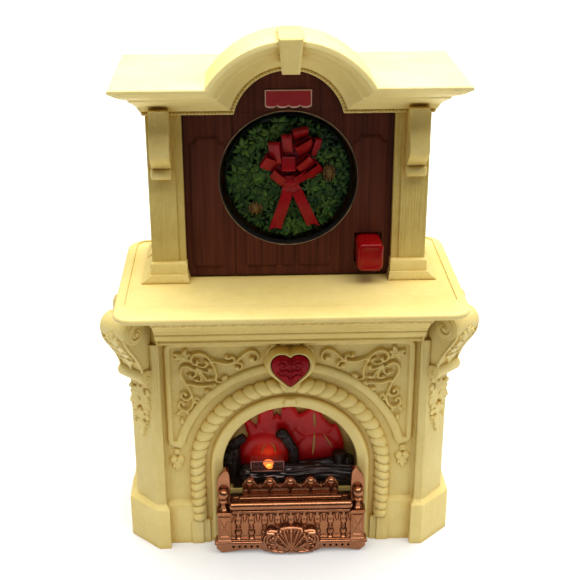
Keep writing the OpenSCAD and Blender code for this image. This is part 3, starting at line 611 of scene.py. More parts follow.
def brown_m():
    k = Nodes("brown_wood_grain_moulding")
    g = k.noise(620, 5, 0.68, k.mapping((1, 1, 0.022)), 0.5)
    g2 = k.noise(150, 3, 0.6, k.mapping((1, 1, 0.05), loc=(0.1, 0, 0.3)), 0.3)
    col = k.ramp(k.maths("ADD", k.maths("MULTIPLY", g, 0.65), k.maths("MULTIPLY", g2, 0.35)),
                 [(0.30, (0.042, 0.0095, 0.0050)), (0.46, (0.098, 0.0240, 0.0125)), (0.60, (0.140, 0.036, 0.018)), (0.75, (0.19, 0.054, 0.027))])
    # painted shade: ambient occlusion darkens the brown in its hollows
    col = k.mix(k.rng(k.ao(0.003), 0.3, 0.9, 0.75, 0.0), col, (0.018, 0.005, 0.004))
    k.set("Base Color", col)
    k.set("Roughness", k.rng(g, 0.3, 0.7, 0.62, 0.48))
    k.set("Specular IOR Level", 0.22)
    k.set("Normal", k.bump(k.rng(g, 0.38, 0.62, 0, 1), 0.42, 0.00026, k.bump(k.noise(1400, 2, 0.5), 0.1, 0.0002)))
    return k.m


BROWN = brown_m()


def plastic(name, a, b, rough=0.35, ao_shade_col=None, coat=0.0, scale=90, bump=0.1, spec=0.5, sss=0.0, sssr=(0.004, 0.002, 0.001), metal=0.0, ao_d=0.002, trans=0.0, r_var=0.08):
    k = Nodes(name)
    col = k.mix(k.rng(k.noise(scale, 4, 0.6), 0.3, 0.7, 0, 1), a, b)
    # painted shade: where asked, ambient occlusion mixes this darker colour into the hollows
    if ao_shade_col:
        col = k.mix(k.rng(k.ao(ao_d), 0.25, 0.9, 0.85, 0.0), col, ao_shade_col)
    k.set("Base Color", col)
    k.set("Roughness", k.rng(k.noise(scale * 1.7, 4, 0.6), 0.3, 0.7, rough - r_var, rough + r_var))
    k.set("Specular IOR Level", spec)
    k.set("Coat Weight", coat)
    k.set("Coat Roughness", 0.12)
    k.set("Metallic", metal)
    if trans:
        k.set("Transmission Weight", trans)
    if sss:
        k.set("Subsurface Weight", sss)
        k.set("Subsurface Radius", sssr)
    k.set("Normal", k.bump(k.noise(1300, 2, 0.5), bump, 0.0002, k.bump(k.noise(160, 2, 0.5), bump, 0.0005)))
    return k.m


def copper_m():
    k = Nodes("copper_plating")
    mott = k.noise(120, 4, 0.6)
    col = k.mix(k.rng(mott, 0.3, 0.7, 0, 1), (0.41, 0.185, 0.092), (0.30, 0.125, 0.060))
    edge = k.noise(60, 3, 0.5)
    col = k.mix(k.rng(edge, 0.5, 0.75, 0.0, 0.35), col, (0.50, 0.20, 0.065))
    # painted shade: ambient occlusion darkens the copper in its hollows
    occ = k.ao(0.0018, 6)
    col = k.mix(k.rng(occ, 0.05, 0.70, 0.70, 0.0), col, (0.150, 0.050, 0.022))
    k.set("Base Color", col)
    k.set("Metallic", 0.92)
    k.set("Roughness", k.rng(k.noise(260, 4, 0.65), 0.3, 0.7, 0.19, 0.30))
    k.set("Coat Weight", 0.35)
    k.set("Coat Roughness", 0.2)
    k.set("Normal", k.bump(k.noise(900, 3, 0.6), 0.07, 0.00018, k.bump(k.noise(210, 2, 0.5), 0.10, 0.0005)))
    return k.m


COPPER = copper_m()


def flame_m():
    """Translucent red moulding lit from behind: that light is painted as an emission glow, darker low down, and
    ambient occlusion paints shade in its hollows.
    """
    k = Nodes("flame_translucent_red")
    sep = k.n("ShaderNodeSeparateXYZ")
    k.link(k.co, sep.inputs[0])
    n1 = k.noise(70, 3, 0.55)
    col = k.mix(k.rng(n1, 0.35, 0.65, 0, 1), (0.50, 0.005, 0.007), (0.36, 0.003, 0.005))
    # painted shade: ambient occlusion darkens the red in its hollows
    occ = k.rng(k.ao(0.005), 0.2, 0.9, 0.75, 0.0)
    col = k.mix(occ, col, (0.10, 0.001, 0.002))
    k.set("Base Color", col)
    k.set("Roughness", k.rng(k.noise(150, 3, 0.6), 0.3, 0.7, 0.22, 0.38))
    k.set("Subsurface Weight", 0.25)
    k.set("Subsurface Radius", (0.006, 0.0008, 0.0005))
    k.set("Specular IOR Level", 0.3)
    k.set("Coat Weight", 0.12)
    k.set("Coat Roughness", 0.15)
    # painted light: an emission glow stands in for the lamp shining through, strongest round the lamp and rising with
    # height
    dx = k.maths("SUBTRACT", sep.outputs[0], -0.009)
    dz = k.maths("SUBTRACT", sep.outputs[2], 0.037)
    d2 = k.maths("ADD", k.maths("MULTIPLY", dx, dx), k.maths("MULTIPLY", dz, dz))
    d = k.maths("SQRT", d2)
    glow = k.rng(d, 0.0, 0.013, 1.0, 0.0)
    glow = k.maths("POWER", glow, 2.0)
    base = k.rng(sep.outputs[2], 0.026, 0.050, 0.01, 0.10)
    k.set("Emission Color", k.mix(glow, (0.85, 0.010, 0.012), (1.0, 0.10, 0.03)))
    k.set("Emission Strength", k.maths("ADD", base, k.maths("MULTIPLY", glow, 0.22)))
    k.set("Normal", k.bump(k.noise(300, 3, 0.6), 0.12, 0.0004))
    return k.m


FLAME = flame_m()


def bark_m():
    k = Nodes("log_bark")
    g = k.noise(420, 5, 0.7, k.mapping((0.16, 1, 1)), 0.8)
    col = k.ramp(g, [(0.32, (0.004, 0.0018, 0.0016)), (0.5, (0.014, 0.0050, 0.0042)), (0.68, (0.038, 0.013, 0.010)), (0.84, (0.095, 0.042, 0.032))])
    k.set("Base Color", col)
    k.set("Roughness", k.rng(g, 0.3, 0.7, 0.42, 0.20))
    k.set("Specular IOR Level", 0.35)
    k.set("Coat Weight", 0.22)
    k.set("Coat Roughness", 0.18)
    k.set("Normal", k.bump(g, 0.8, 0.0006, k.bump(k.noise(1200, 3, 0.6), 0.25, 0.0003)))
    return k.m


SPIKE = plastic("flame_tip_gold", (0.52, 0.30, 0.075), (0.40, 0.21, 0.045), 0.4, spec=0.3)
# pale glossy colour for the painted highlight streaks on the front log
LOG_HIGHLIGHT_PAINT = plastic("log_painted_highlight", (0.62, 0.50, 0.50), (0.45, 0.32, 0.32), 0.22, spec=0.5, coat=0.5)
# pale pink colour for the window rim tubes: painted highlight along the lit edges of the lamp window
PANE_EDGE = plastic("lamp_window_edge", (0.46, 0.22, 0.18), (0.36, 0.15, 0.12), 0.12, spec=0.5, coat=0.6)
HOLE = plastic("grate_hole_shadow", (0.035, 0.010, 0.005), (0.025, 0.007, 0.004), 0.8, spec=0.02)
BARK = bark_m()


def leaf_m():
    k = Nodes("wreath_leaf_green")
    # the per-leaf tone blends dark to light green; it holds random tone plus painted shade, since the wreath lowers it
    # towards the right and the top
    info = k.n("ShaderNodeAttribute", attribute_name="tone")
    col = k.mix(info.outputs["Fac"], (0.006, 0.040, 0.008), (0.110, 0.220, 0.030))
    col = k.mix(k.rng(k.noise(260, 3, 0.6), 0.35, 0.7, 0, 0.5), col, (0.008, 0.050, 0.012))
    # painted shade: ambient occlusion darkens the leaves in the gaps between them
    col = k.mix(k.rng(k.ao(0.0022, 5), 0.25, 0.92, 0.92, 0.0), col, (0.001, 0.008, 0.003))
    k.set("Base Color", col)
    k.set("Roughness", k.rng(k.noise(400, 3, 0.6), 0.3, 0.7, 0.30, 0.50))
    k.set("Specular IOR Level", 0.3)
    k.set("Coat Weight", 0.06)
    k.set("Coat Roughness", 0.25)
    k.set("Normal", k.bump(k.noise(1300, 3, 0.6), 0.25, 0.0002))
    return k.m


LEAF = leaf_m()
HEART = plastic("heart_translucent_red", (0.40, 0.004, 0.012), (0.29, 0.002, 0.008), 0.26, ao_shade_col=(0.10, 0.0, 0.003), coat=0.05, spec=0.16, sss=0.1, ao_d=0.0012)
KNOB = plastic("knob_red", (0.33, 0.003, 0.006), (0.26, 0.002, 0.004), 0.14, spec=0.28, coat=0.12, sss=0.1, bump=0.06, r_var=0.04)
RIBBON = plastic("ribbon_red", (0.40, 0.006, 0.013), (0.27, 0.004, 0.009), 0.34, spec=0.22, ao_shade_col=(0.07, 0.001, 0.003), coat=0.1, scale=300, bump=0.2, ao_d=0.0018)
CONE = plastic("pine_cone_brown", (0.26, 0.155, 0.035), (0.15, 0.080, 0.018), 0.55, ao_shade_col=(0.02, 0.01, 0.003), scale=500, bump=0.3, ao_d=0.0010)
DARK = plastic("disc_dark_green", (0.004, 0.020, 0.008), (0.002, 0.010, 0.005), 0.45, ao_shade_col=(0.001, 0.003, 0.002))
BLACK = plastic("dark_moulding", (0.012, 0.012, 0.013), (0.020, 0.019, 0.018), 0.45)
GOLD = plastic("flame_tip_tan", (0.60, 0.36, 0.12), (0.45, 0.24, 0.07), 0.4, scale=200)
BADGE = plastic("badge_red", (0.42, 0.040, 0.050), (0.34, 0.030, 0.040), 0.34, spec=0.3, coat=0.1, scale=200)
BADGE_W = plastic("badge_pale_edge", (0.72, 0.50, 0.42), (0.60, 0.38, 0.32), 0.35, scale=300)
EDGE_TAN = plastic("window_edge_tan", (0.36, 0.25, 0.13), (0.24, 0.15, 0.07), 0.5, scale=400)
SCREW = plastic("zinc_steel", (0.62, 0.61, 0.58), (0.48, 0.47, 0.45), 0.30, metal=0.95, scale=500, bump=0.15)
SPRING = plastic("spring_steel", (0.60, 0.60, 0.62), (0.50, 0.50, 0.52), 0.24, metal=0.95, scale=500)
GEARW = plastic("acetal_white", (0.80, 0.79, 0.74), (0.74, 0.72, 0.66), 0.38, scale=200, sss=0.1)
# near-black: painted shade for the dark gap round the picture disc
CAGE = plastic("cage_plastic", (0.020, 0.020, 0.021), (0.012, 0.012, 0.013), 0.45, scale=200)
PCB = plastic("board_green", (0.015, 0.14, 0.045), (0.010, 0.10, 0.035), 0.32, scale=600, coat=0.3)
SPK = plastic("speaker_black", (0.018, 0.018, 0.020), (0.030, 0.029, 0.028), 0.5, scale=500, bump=0.3)
BATT = plastic("battery_sleeve_blue", (0.02, 0.05, 0.24), (0.03, 0.07, 0.30), 0.26, scale=200, coat=0.5, metal=0.2)
RUBBER = plastic("rubber_grey", (0.11, 0.11, 0.11), (0.085, 0.085, 0.085), 0.65, scale=400, bump=0.2)
WIRE = plastic("wire_red", (0.42, 0.012, 0.012), (0.34, 0.010, 0.010), 0.42, scale=300)
CARD = plastic("printed_card", (0.34, 0.46, 0.55), (0.52, 0.57, 0.52), 0.5, scale=60)


def glass(name, col, rough=0.08, alpha_mix=0.85):
    k = Nodes(name)
    k.set("Base Color", k.mix(k.rng(k.noise(200, 3), 0.3, 0.7, 0, 1), col, tuple(0.85 * c for c in col)))
    k.set("Roughness", k.rng(k.noise(300, 3), 0.3, 0.7, rough * 0.6, rough * 1.6))
    k.set("Transmission Weight", alpha_mix)
    k.set("IOR", 1.12)
    k.set("Coat Weight", 0.05)
    k.set("Normal", k.bump(k.noise(300, 2), 0.02, 0.0003))
    return k.m


WINDOW = glass("lamp_window_clear", (0.95, 0.62, 0.55), 0.05, 0.96)


def lamp_m():
    k = Nodes("lamp_glow")
    sep = k.n("ShaderNodeSeparateXYZ")
    k.link(k.co, sep.inputs[0])
    k.set("Base Color", k.mix(k.rng(k.noise(500, 2), 0.3, 0.7, 0, 1), (1.0, 0.45, 0.10), (1.0, 0.33, 0.06)))
    k.set("Roughness", k.rng(k.noise(400, 2), 0.3, 0.7, 0.15, 0.3))
    k.set("Emission Color", k.mix(k.rng(sep.outputs[2], 0.026, 0.031, 0, 1), (1.0, 0.25, 0.03), (1.0, 0.60, 0.12)))
    k.set("Emission Strength", k.rng(sep.outputs[2], 0.028, 0.034, 0.2, 1.4))
    k.set("Normal", k.bump(k.noise(900, 2), 0.1, 0.0002))
    return k.m


LAMP = lamp_m()

# ---------------------------------------------------------------- lower body front
ZC = 37.0
HZ = 85.3


HEART_HALF = [(0.0, 13.3), (0.55, 13.75), (1.5, 14.45), (3.2, 14.85), (5.0, 14.55), (6.6, 13.45), (7.5, 11.8), (7.78, 9.8), (7.25, 7.7), (6.05, 5.7), (4.5, 3.95), (2.9, 2.3), (1.35, 0.85), (0.35, 0.1), (0.0, 0.0)]
HTIP = 77.2


def heart_poly(w, h, n=96, cz=None):
    """Rounded heart w wide and h high, its tip down; the cleft and the tip are on X = 0."""
    z0 = HTIP + (14.85 - h) * 0.5 if cz is None else cz
    half = crom([(x, z) for x, z in HEART_HALF], 0.25)
    k = max(2, len(half) * 2 // n)
    half = half[::k]
    P = [(float(x) * w / 15.56, z0 + float(z) * h / 14.85) for x, z in half]
    P = [p for p in P if p[0] > 0.02]
    P = [(0.0, z0 + 13.3 * h / 14.85)] + P + [(0.0, z0)]
    return P + [(-x, z) for x, z in P[-2:0:-1]]


SCROLL = {
    "A": [(-36.8, 86.8), (-37.8, 85.9), (-39.0, 86.2), (-39.7, 87.6), (-39.5, 89.1), (-38.3, 90.2), (-36.4, 90.6), (-34.5, 89.9), (-32.7, 88.3), (-31.4, 86.0), (-30.2, 83.3), (-29.7, 80.6), (-30.0, 78.8), (-29.4, 77.8), (-28.0, 77.4), (-26.3, 78.0), (-25.5, 79.1), (-26.1, 80.0), (-27.3, 79.6)],
    "B": [(-31.3, 86.9), (-29.3, 86.7), (-27.2, 86.0), (-25.0, 85.9), (-22.9, 86.3), (-20.9, 87.4), (-18.9, 89.4), (-16.8, 91.0), (-14.8, 91.3), (-13.2, 90.2), (-12.7, 88.4), (-13.3, 87.0), (-14.7, 86.7), (-15.4, 87.4)],
    "B2": [(-22.5, 86.4), (-20.9, 86.3), (-19.5, 85.4), (-19.2, 84.2), (-20.0, 83.3), (-21.2, 83.6)],
    "B3": [(-22.3, 86.8), (-22.5, 88.1), (-23.5, 88.7), (-24.3, 88.1), (-25.0, 87.9), (-25.6, 88.5)],
    "C": [(-39.9, 84.0), (-40.7, 84.7), (-42.2, 85.0), (-43.7, 84.0), (-44.2, 82.2), (-43.7, 80.0), (-42.5, 77.6), (-41.4, 75.6), (-40.5, 73.0), (-39.8, 70.7), (-39.2, 68.8)],
    "C2": [(-39.2, 68.8), (-37.6, 68.0), (-36.6, 69.0), (-37.3, 69.9)],
    "C3": [(-39.4, 68.4), (-40.3, 66.1), (-41.8, 64.5), (-43.4, 64.5), (-44.8, 65.5), (-45.4, 67.1), (-44.7, 68.7), (-43.5, 68.5), (-43.3, 67.3)],
    "D": [(-41.3, 76.9), (-39.3, 76.4), (-36.9, 75.8), (-34.1, 75.9), (-32.1, 76.1), (-31.2, 75.1), (-31.3, 73.5), (-32.6, 72.4), (-34.0, 72.8)],
    "E": [(-40.4, 70.9), (-41.4, 69.8), (-43.0, 69.8), (-44.2, 71.0), (-44.2, 72.4), (-42.9, 72.8), (-42.3, 71.8)],
}
PETALS = [
    [(-37.8, 85.3), (-35.8, 84.4), (-34.2, 84.7), (-33.0, 86.1), (-33.8, 86.9)],
    [(-36.7, 83.4), (-34.7, 82.3), (-32.7, 82.2), (-32.3, 83.2)],
    [(-36.3, 82.5), (-34.8, 80.2), (-33.4, 78.4), (-32.2, 78.5)],
    [(-37.9, 83.5), (-36.4, 81.2), (-35.8, 79.3), (-36.5, 78.0), (-37.9, 78.3)],
    [(-39.5, 83.5), (-38.1, 82.6), (-38.2, 80.7), (-39.4, 79.9), (-40.7, 80.4)],
]


def front_field():
    fd = Field(-52.6, 52.6, 17.0, 96.2, 0.19)
    U, V = fd.U, fd.V
    R = np.hypot(U, np.maximum(V - ZC, 0))
    R = np.where(V < ZC, np.abs(U), np.hypot(U, V - ZC))
    # scrollwork, drawn on the left, copied to the right
    k = 1.5
    for name, P in SCROLL.items():
        fd.stroke(P, 0.74, 1.15 * k, 0.58, 1.0 * k, power=0.5, wm=0.70)
    for P in PETALS:
        fd.stroke(P, 0.55, 0.75 * k, 0.66, 1.0 * k, power=0.5)
    # curled ends
    for x, z, r in ((-27.1, 79.2, 1.05), (-15.2, 87.6, 1.2), (-21.3, 83.9, 1.05), (-25.4, 88.7, 0.9), (-43.4, 67.7, 1.05), (-33.9, 73.1, 1.1), (-42.4, 71.9, 1.0), (-37.2, 86.9, 1.1), (-39.7, 83.6, 1.0), (-37.2, 69.9, 0.9), (-34.0, 86.7, 1.0), (-32.4, 83.3, 0.95), (-32.3, 78.8, 0.95), (-37.9, 78.6, 0.95), (-40.6, 80.7, 0.95)):
        fd.ball(x, z, r, 1.15 * k)
    for a, L in ((158, 4.2), (190, 3.8), (236, 3.2), (72, 3.8), (22, 3.4), (322, 3.6)):
        fd.leaf(-42.9, 89.0, a, L, 1.25, 1.1 * k, tip=0.15, crease=0.45)
    fd.ball(-42.9, 89.0, 0.85, 1.2 * k)
    for x, z, a, L, w in ((-37.9, 84.4, 300, 3.0, 0.8), (-44.4, 64.6, 225, 3.4, 0.9), (-42.4, 64.3, 290, 2.6, 0.8), (-44.4, 61.2, 270, 3.6, 0.95), (-22.6, 86.4, 205, 3.0, 0.8), (-30.2, 86.6, 140, 2.6, 0.8), (-31.0, 77.0, 300, 2.6, 0.8), (-39.0, 69.0, 60, 2.6, 0.7)):
        fd.leaf(x, z, a, L, w, 1.0 * k, tip=0.2, crease=0.3)
    # flower pendant under the point of the spandrel
    pend = Field(-52.6, 52.6, 17.0, 96.2, 0.19)
    pend.ball(-47.1, 45.0, 1.45, 1.3)
    pend.ball(-47.9, 43.9, 0.8, 0.9)
    pend.ball(-46.3, 43.9, 0.8, 0.9)
    pend.leaf(-47.1, 42.0, 196, 3.3, 1.7, 1.35, crease=0.2, tip=0.0)
    pend.leaf(-47.1, 42.0, 344, 3.3, 1.7, 1.35, crease=0.2, tip=0.0)
    pend.ball(-48.7, 40.6, 1.5, 1.35)
    pend.ball(-45.5, 40.4, 1.5, 1.35)
    pend.leaf(-47.1, 41.0, 270, 5.8, 1.5, 1.4, crease=0.25, tip=0.0)
    pend.leaf(-47.4, 39.6, 235, 3.2, 1.0, 1.1, crease=0.2, tip=0.0)
    pend.leaf(-46.8, 39.6, 305, 3.2, 1.0, 1.1, crease=0.2, tip=0.0)
    for f in (fd, pend):
        f.H = np.maximum(f.H, f.H[::-1, :])
        f.blur(0.08)
    # spandrel recess with its rounded frame
    hp = np.array(heart_poly(20.6, 19.4, 64, HTIP - 2.6))
    Q, dh = near(hp, np.stack([U.ravel(), V.ravel()], axis=1))
    dh = dh.reshape(U.shape)
    dh = np.where(inside(hp, U, V), dh, -dh)
    d = np.maximum(np.maximum(np.maximum(np.abs(U) - 48.2, V - 93.2), 48.9 - R), dh)
    q1, q2 = np.abs(U) - 46.9, V - 91.9
    cr = np.where((q1 > 0) & (q2 > 0), np.hypot(np.maximum(q1, 0), np.maximum(q2, 0)) - 1.3, -9)
    d = np.maximum(np.maximum(d, cr), 50.2 - V)
    # true distance outside the recess, so that the frame turns its corners round
    big = 30.0
    W = int(4.8 / fd.res)
    g = np.where(d <= 0, 0.0, big ** 2)
    for ax in (1, 0):
        out = g.copy()
        for k in range(1, W + 1):
            for sg in (-1, 1):
                sh = np.full_like(g, big ** 2)
                src = [slice(None), slice(None)]
                dst = [slice(None), slice(None)]
                if sg > 0:
                    src[ax], dst[ax] = slice(k, None), slice(None, -k)
                else:
                    src[ax], dst[ax] = slice(None, -k), slice(k, None)
                sh[tuple(dst)] = g[tuple(src)]
                out = np.minimum(out, sh + (k * fd.res) ** 2)
        g = out
    e = gblur(np.sqrt(g), 0.22 / fd.res)
    din = gblur(d, 0.3 / fd.res)
    width = 2.75 + 1.35 * np.clip((48.2 - np.abs(U)) / 2.6, 0, 1) * (V < 92.0)
    t = np.clip(e / width, 0, 1)
    bead = 1.30 * np.sqrt(np.clip(1 - np.abs(2 * t - 1) ** 3.2, 0, 1)) * (e < width)
    bead = np.where(V > 93.6, np.maximum(bead, 0), bead)
    H = np.where(d <= 0, fd.H * np.clip(-din / 0.3, 0, 1) ** 0.5, bead)
    H = np.maximum(H, pend.H * (V < 46.6))
    fd.H = gblur(H, 0.09 / fd.res)
    fd.H += 0.012 * fbm(U, V, 0 * U, 3, 3, 0.5)
    hole = heart_poly(18.2, 17.0, 90, HTIP - 0.9)
    mask = ~((R < 30.5) | inside(hole, U, V))
    V_, F_ = sheet_mesh(fd, on_front(2.0), mask, None, back=0.9)
    return V_, F_


V_, F_ = front_field()
spandrel = add("surround_front_relief", V_, F_, CREAM_F, slot="cream_plastic", sharp=0)
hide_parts("surround_front")


def side_shell():
    M = Mesh()
    g = [(52.3, 5.0), (52.3, -1.4), (52.7, -1.8), (55.4, -2.0), (56.0, -1.7), (64.9, 7.9), (65.3, 8.6), (66.45, 23.9), (64.5, 24.0), (63.5, 10.0), (54.5, 0.9), (53.5, 5.0)]
    M.put(*prism(g, 2.0, 96.0, "z"))
    M.put(*prism([(50.9, 3.0), (50.9, 2.02), (51.5, 1.7), (52.0, 1.2), (52.6, 0.2), (52.6, 3.0)], 20.0, 96.0, "z"))
    return M.mirror()


side_shell().add("surround_posts_and_corners", CREAM_G, slot="cream_plastic", bevel=0.5, seg=3)


def plinth():
    """Moulded foot: vertical band, then a sloping top edge; left and right halves."""
    M = Mesh()
    lo = [(35.6, 4.5), (35.6, 0.0), (51.0, 0.0), (51.0, -4.0), (56.0, -4.1), (68.5, 8.0), (68.4, 24.0), (60.0, 24.0), (60.0, 12.0), (50.0, 4.5)]
    hi = [(35.6, 4.5), (35.6, 2.05), (52.2, 2.05), (52.2, -1.85), (55.6, -1.9), (65.2, 8.4), (66.4, 24.0), (60.0, 24.0), (60.0, 12.0), (50.0, 4.5)]
    rings = []
    for z, t in ((0.0, 0.0), (18.9, 0.0), (19.3, 0.06), (21.0, 0.95), (21.5, 1.0)):
        rings.append([(a[0] + (b[0] - a[0]) * t, a[1] + (b[1] - a[1]) * t, z) for a, b in zip(lo, hi)])
    V, F = loft(rings)
    M.put(V, out_normals(V, F))
    return M.mirror()


plinth().add("surround_plinth", CREAM_F, slot="cream_plastic", bevel=0.7, seg=4)


def rope():
    """Rope moulding: bands like stacked rolls up the columns and round the arch, cut by oblique seams."""
    r0, R0 = 3.2, 38.6
    SC = 25.2
    seams, s = [0.0], 0.0
    while s < SC + 68:
        p = 3.8 if s < 22 else min(4.75, 3.95 + (s - 22) * 0.035)
        s += p
        seams.append(s)
    seams = np.array(seams)
    L = SC + (pi / 2 * R0 - 1.5)
    n = 760
    nphi = 36
    rings = []
    for i in range(n):
        s = L * i / (n - 1)
        if s <= SC:
            c = np.array((-R0, 37 - SC + s))
            nrm = np.array((-1.0, 0.0))
        else:
            a = pi - (s - SC) / R0
            nrm = np.array((math.cos(a), math.sin(a)))
            c = np.array((0, ZC)) + R0 * nrm
        ring = []
        for j in range(nphi):
            ph = 2 * pi * j / nphi
            # ph 0 outward, pi/2 to the viewer
            tw = (0.30 + 0.75 * min(s / 30, 1)) * math.cos(ph) * min(s / 6, 1)
            ss = s + tw
            k = int(np.searchsorted(seams, ss) - 1)
            k = min(max(k, 0), len(seams) - 2)
            f = (ss - seams[k]) / (seams[k + 1] - seams[k])
            d = min(f, 1 - f) * (seams[k + 1] - seams[k])
            r = r0 - 0.20 * math.exp(-(d / 0.26) ** 2) - 0.60 * (1 - min(d / 1.9, 1)) ** 2
            r += 0.10 * math.sin(pi * f)
            wid = 1.0
            ring.append((c[0] + nrm[0] * r * wid * math.cos(ph), 1.25 - r * 0.98 * math.sin(ph), c[1] + nrm[1] * r * wid * math.cos(ph)))
        rings.append(ring)
    V, F = loft(rings)
    F = out_normals(V, F)
    M = Mesh()
    M.put(V, F)
    return M.mirror()


rope().add("surround_rope_moulding", CREAM, slot="cream_plastic", sharp=50)


def arch_sweep(prof, zlow, rc=0.0, n=96, closed=True, seg_down=2):
    """Sweeps (radius, Y) round the arch and down both sides to height zlow."""
    rings = []
    for zz in np.linspace(zlow, ZC, seg_down, endpoint=False):
        rings.append([(-r, y, zz) for r, y in prof])
    for i in range(n + 1):
        a = pi - pi * i / n
        rings.append([(r * math.cos(a), y, ZC + r * math.sin(a)) for r, y in prof])
    for zz in np.linspace(ZC, zlow, seg_down + 1)[1:]:
        rings.append([(r, y, zz) for r, y in prof])
    V, F = loft(rings)
    return V, out_normals(V, F)


def surround():
    M = Mesh()
    prof = [(28.2, 4.0), (28.2, 1.3), (28.45, 0.95), (29.0, 0.8), (30.2, 0.55), (31.2, 0.22), (31.9, 0.1), (32.5, 0.18), (33.0, 0.55), (33.35, 1.2), (33.6, 1.9), (34.2, 2.05), (35.6, 2.1), (35.6, 4.0)]
    M.put(*arch_sweep(prof, 2.0))
    return M


surround().add("surround_inner_arch", CREAM, slot="cream_plastic", sharp=42)


def column_blocks():
    M = Mesh()

    def block(x0, x1, yf, z1, top, inset):
        rings = []
        for z, t in ((0.0, 0), (z1 - top, 0), (z1, inset)):
            rings.append([(x0 + t * 0.8, 4.0, z), (x0 + t * 0.8, yf + t, z), (x1 - t * 0.8, yf + t, z), (x1 - t * 0.8, 4.0, z)])
        V, F = loft(rings)
        M.put(V, out_normals(V, F))

    block(36.9, 42.2, -0.7, 12.3, 0.9, 0.8)
    block(34.0, 38.0, 0.1, 11.6, 0.9, 0.6)
    block(31.0, 36.0, 0.9, 10.9, 0.9, 0.6)
    return M.mirror()


column_blocks().add("surround_column_blocks", CREAM_F, slot="cream_plastic", bevel=0.55, seg=3)


def small_key():
    """Low keystone on the lip of the inner arch."""
    M = Mesh()
    rings = []
    for y, g in ((2.2, 0.0), (-0.6, 0.0), (-1.1, 0.45)):
        rings.append([(-2.8 + g, y, 66.9 + g * 0.4), (2.8 - g, y, 66.9 + g * 0.4), (2.1 - g, y, 69.9 - g), (-2.1 + g, y, 69.9 - g)])
    V, F = loft(rings)
    M.put(V, out_normals(V, F))
    # neck between the heart and the inner arch
    rings = []
    for y, g in ((2.4, 0.0), (-1.4, 0.0), (-1.9, 0.4)):
        rings.append([(-2.3 + g, y, 73.6), (2.3 - g, y, 73.6), (1.5 - g, y, 76.0), (1.9 - g, y, 78.6), (-1.9 + g, y, 78.6), (-1.5 + g, y, 76.0)])
    V, F = loft(rings)
    M.put(V, out_normals(V, F))
    return M


small_key().add("surround_small_keystone", CREAM, slot="cream_plastic", bevel=0.35, seg=3)


def heart_ring():
    poly = heart_poly(15.6, 14.3, 200, HTIP - 0.15)
    fd = Field(-11.6, 11.6, 73.6, 96.9, 0.15)
    P = np.stack([fd.U.ravel(), fd.V.ravel()], axis=1)
    Q, d = near(poly, P)
    d = d.reshape(fd.U.shape)
    ins = inside(poly, fd.U, fd.V)
    d = np.where(ins, -d, d)
    d = gblur(d, 0.25 / fd.res)
    wd = 2.75 - 0.95 * np.clip((82.5 - fd.V) / 5.5, 0, 1) - 0.75 * np.clip((fd.V - 85.5) / 5.0, 0, 1)
    t = d / wd
    H = 6.05 - 0.9 * np.clip((0.28 - t) / 0.28, 0, 1) ** 2.2 - 0.35 * np.clip(t / 0.45, 0, 1) - 5.6 * np.clip((t - 0.42) / 0.62, 0, 1) ** 1.7
    fd.H = gblur(np.maximum(H, 0.0), 0.12 / fd.res)
    keep = (~ins) & (t < 1.12)
    V, F = sheet_mesh(fd, on_front(2.1), keep | ((d > -fd.res * 0.7) & (t < 1.12)), [poly], back=0.3)
    return V, F


V_, F_ = heart_ring()
add("surround_heart_frame", V_, F_, CREAM, slot="cream_plastic", sharp=60)


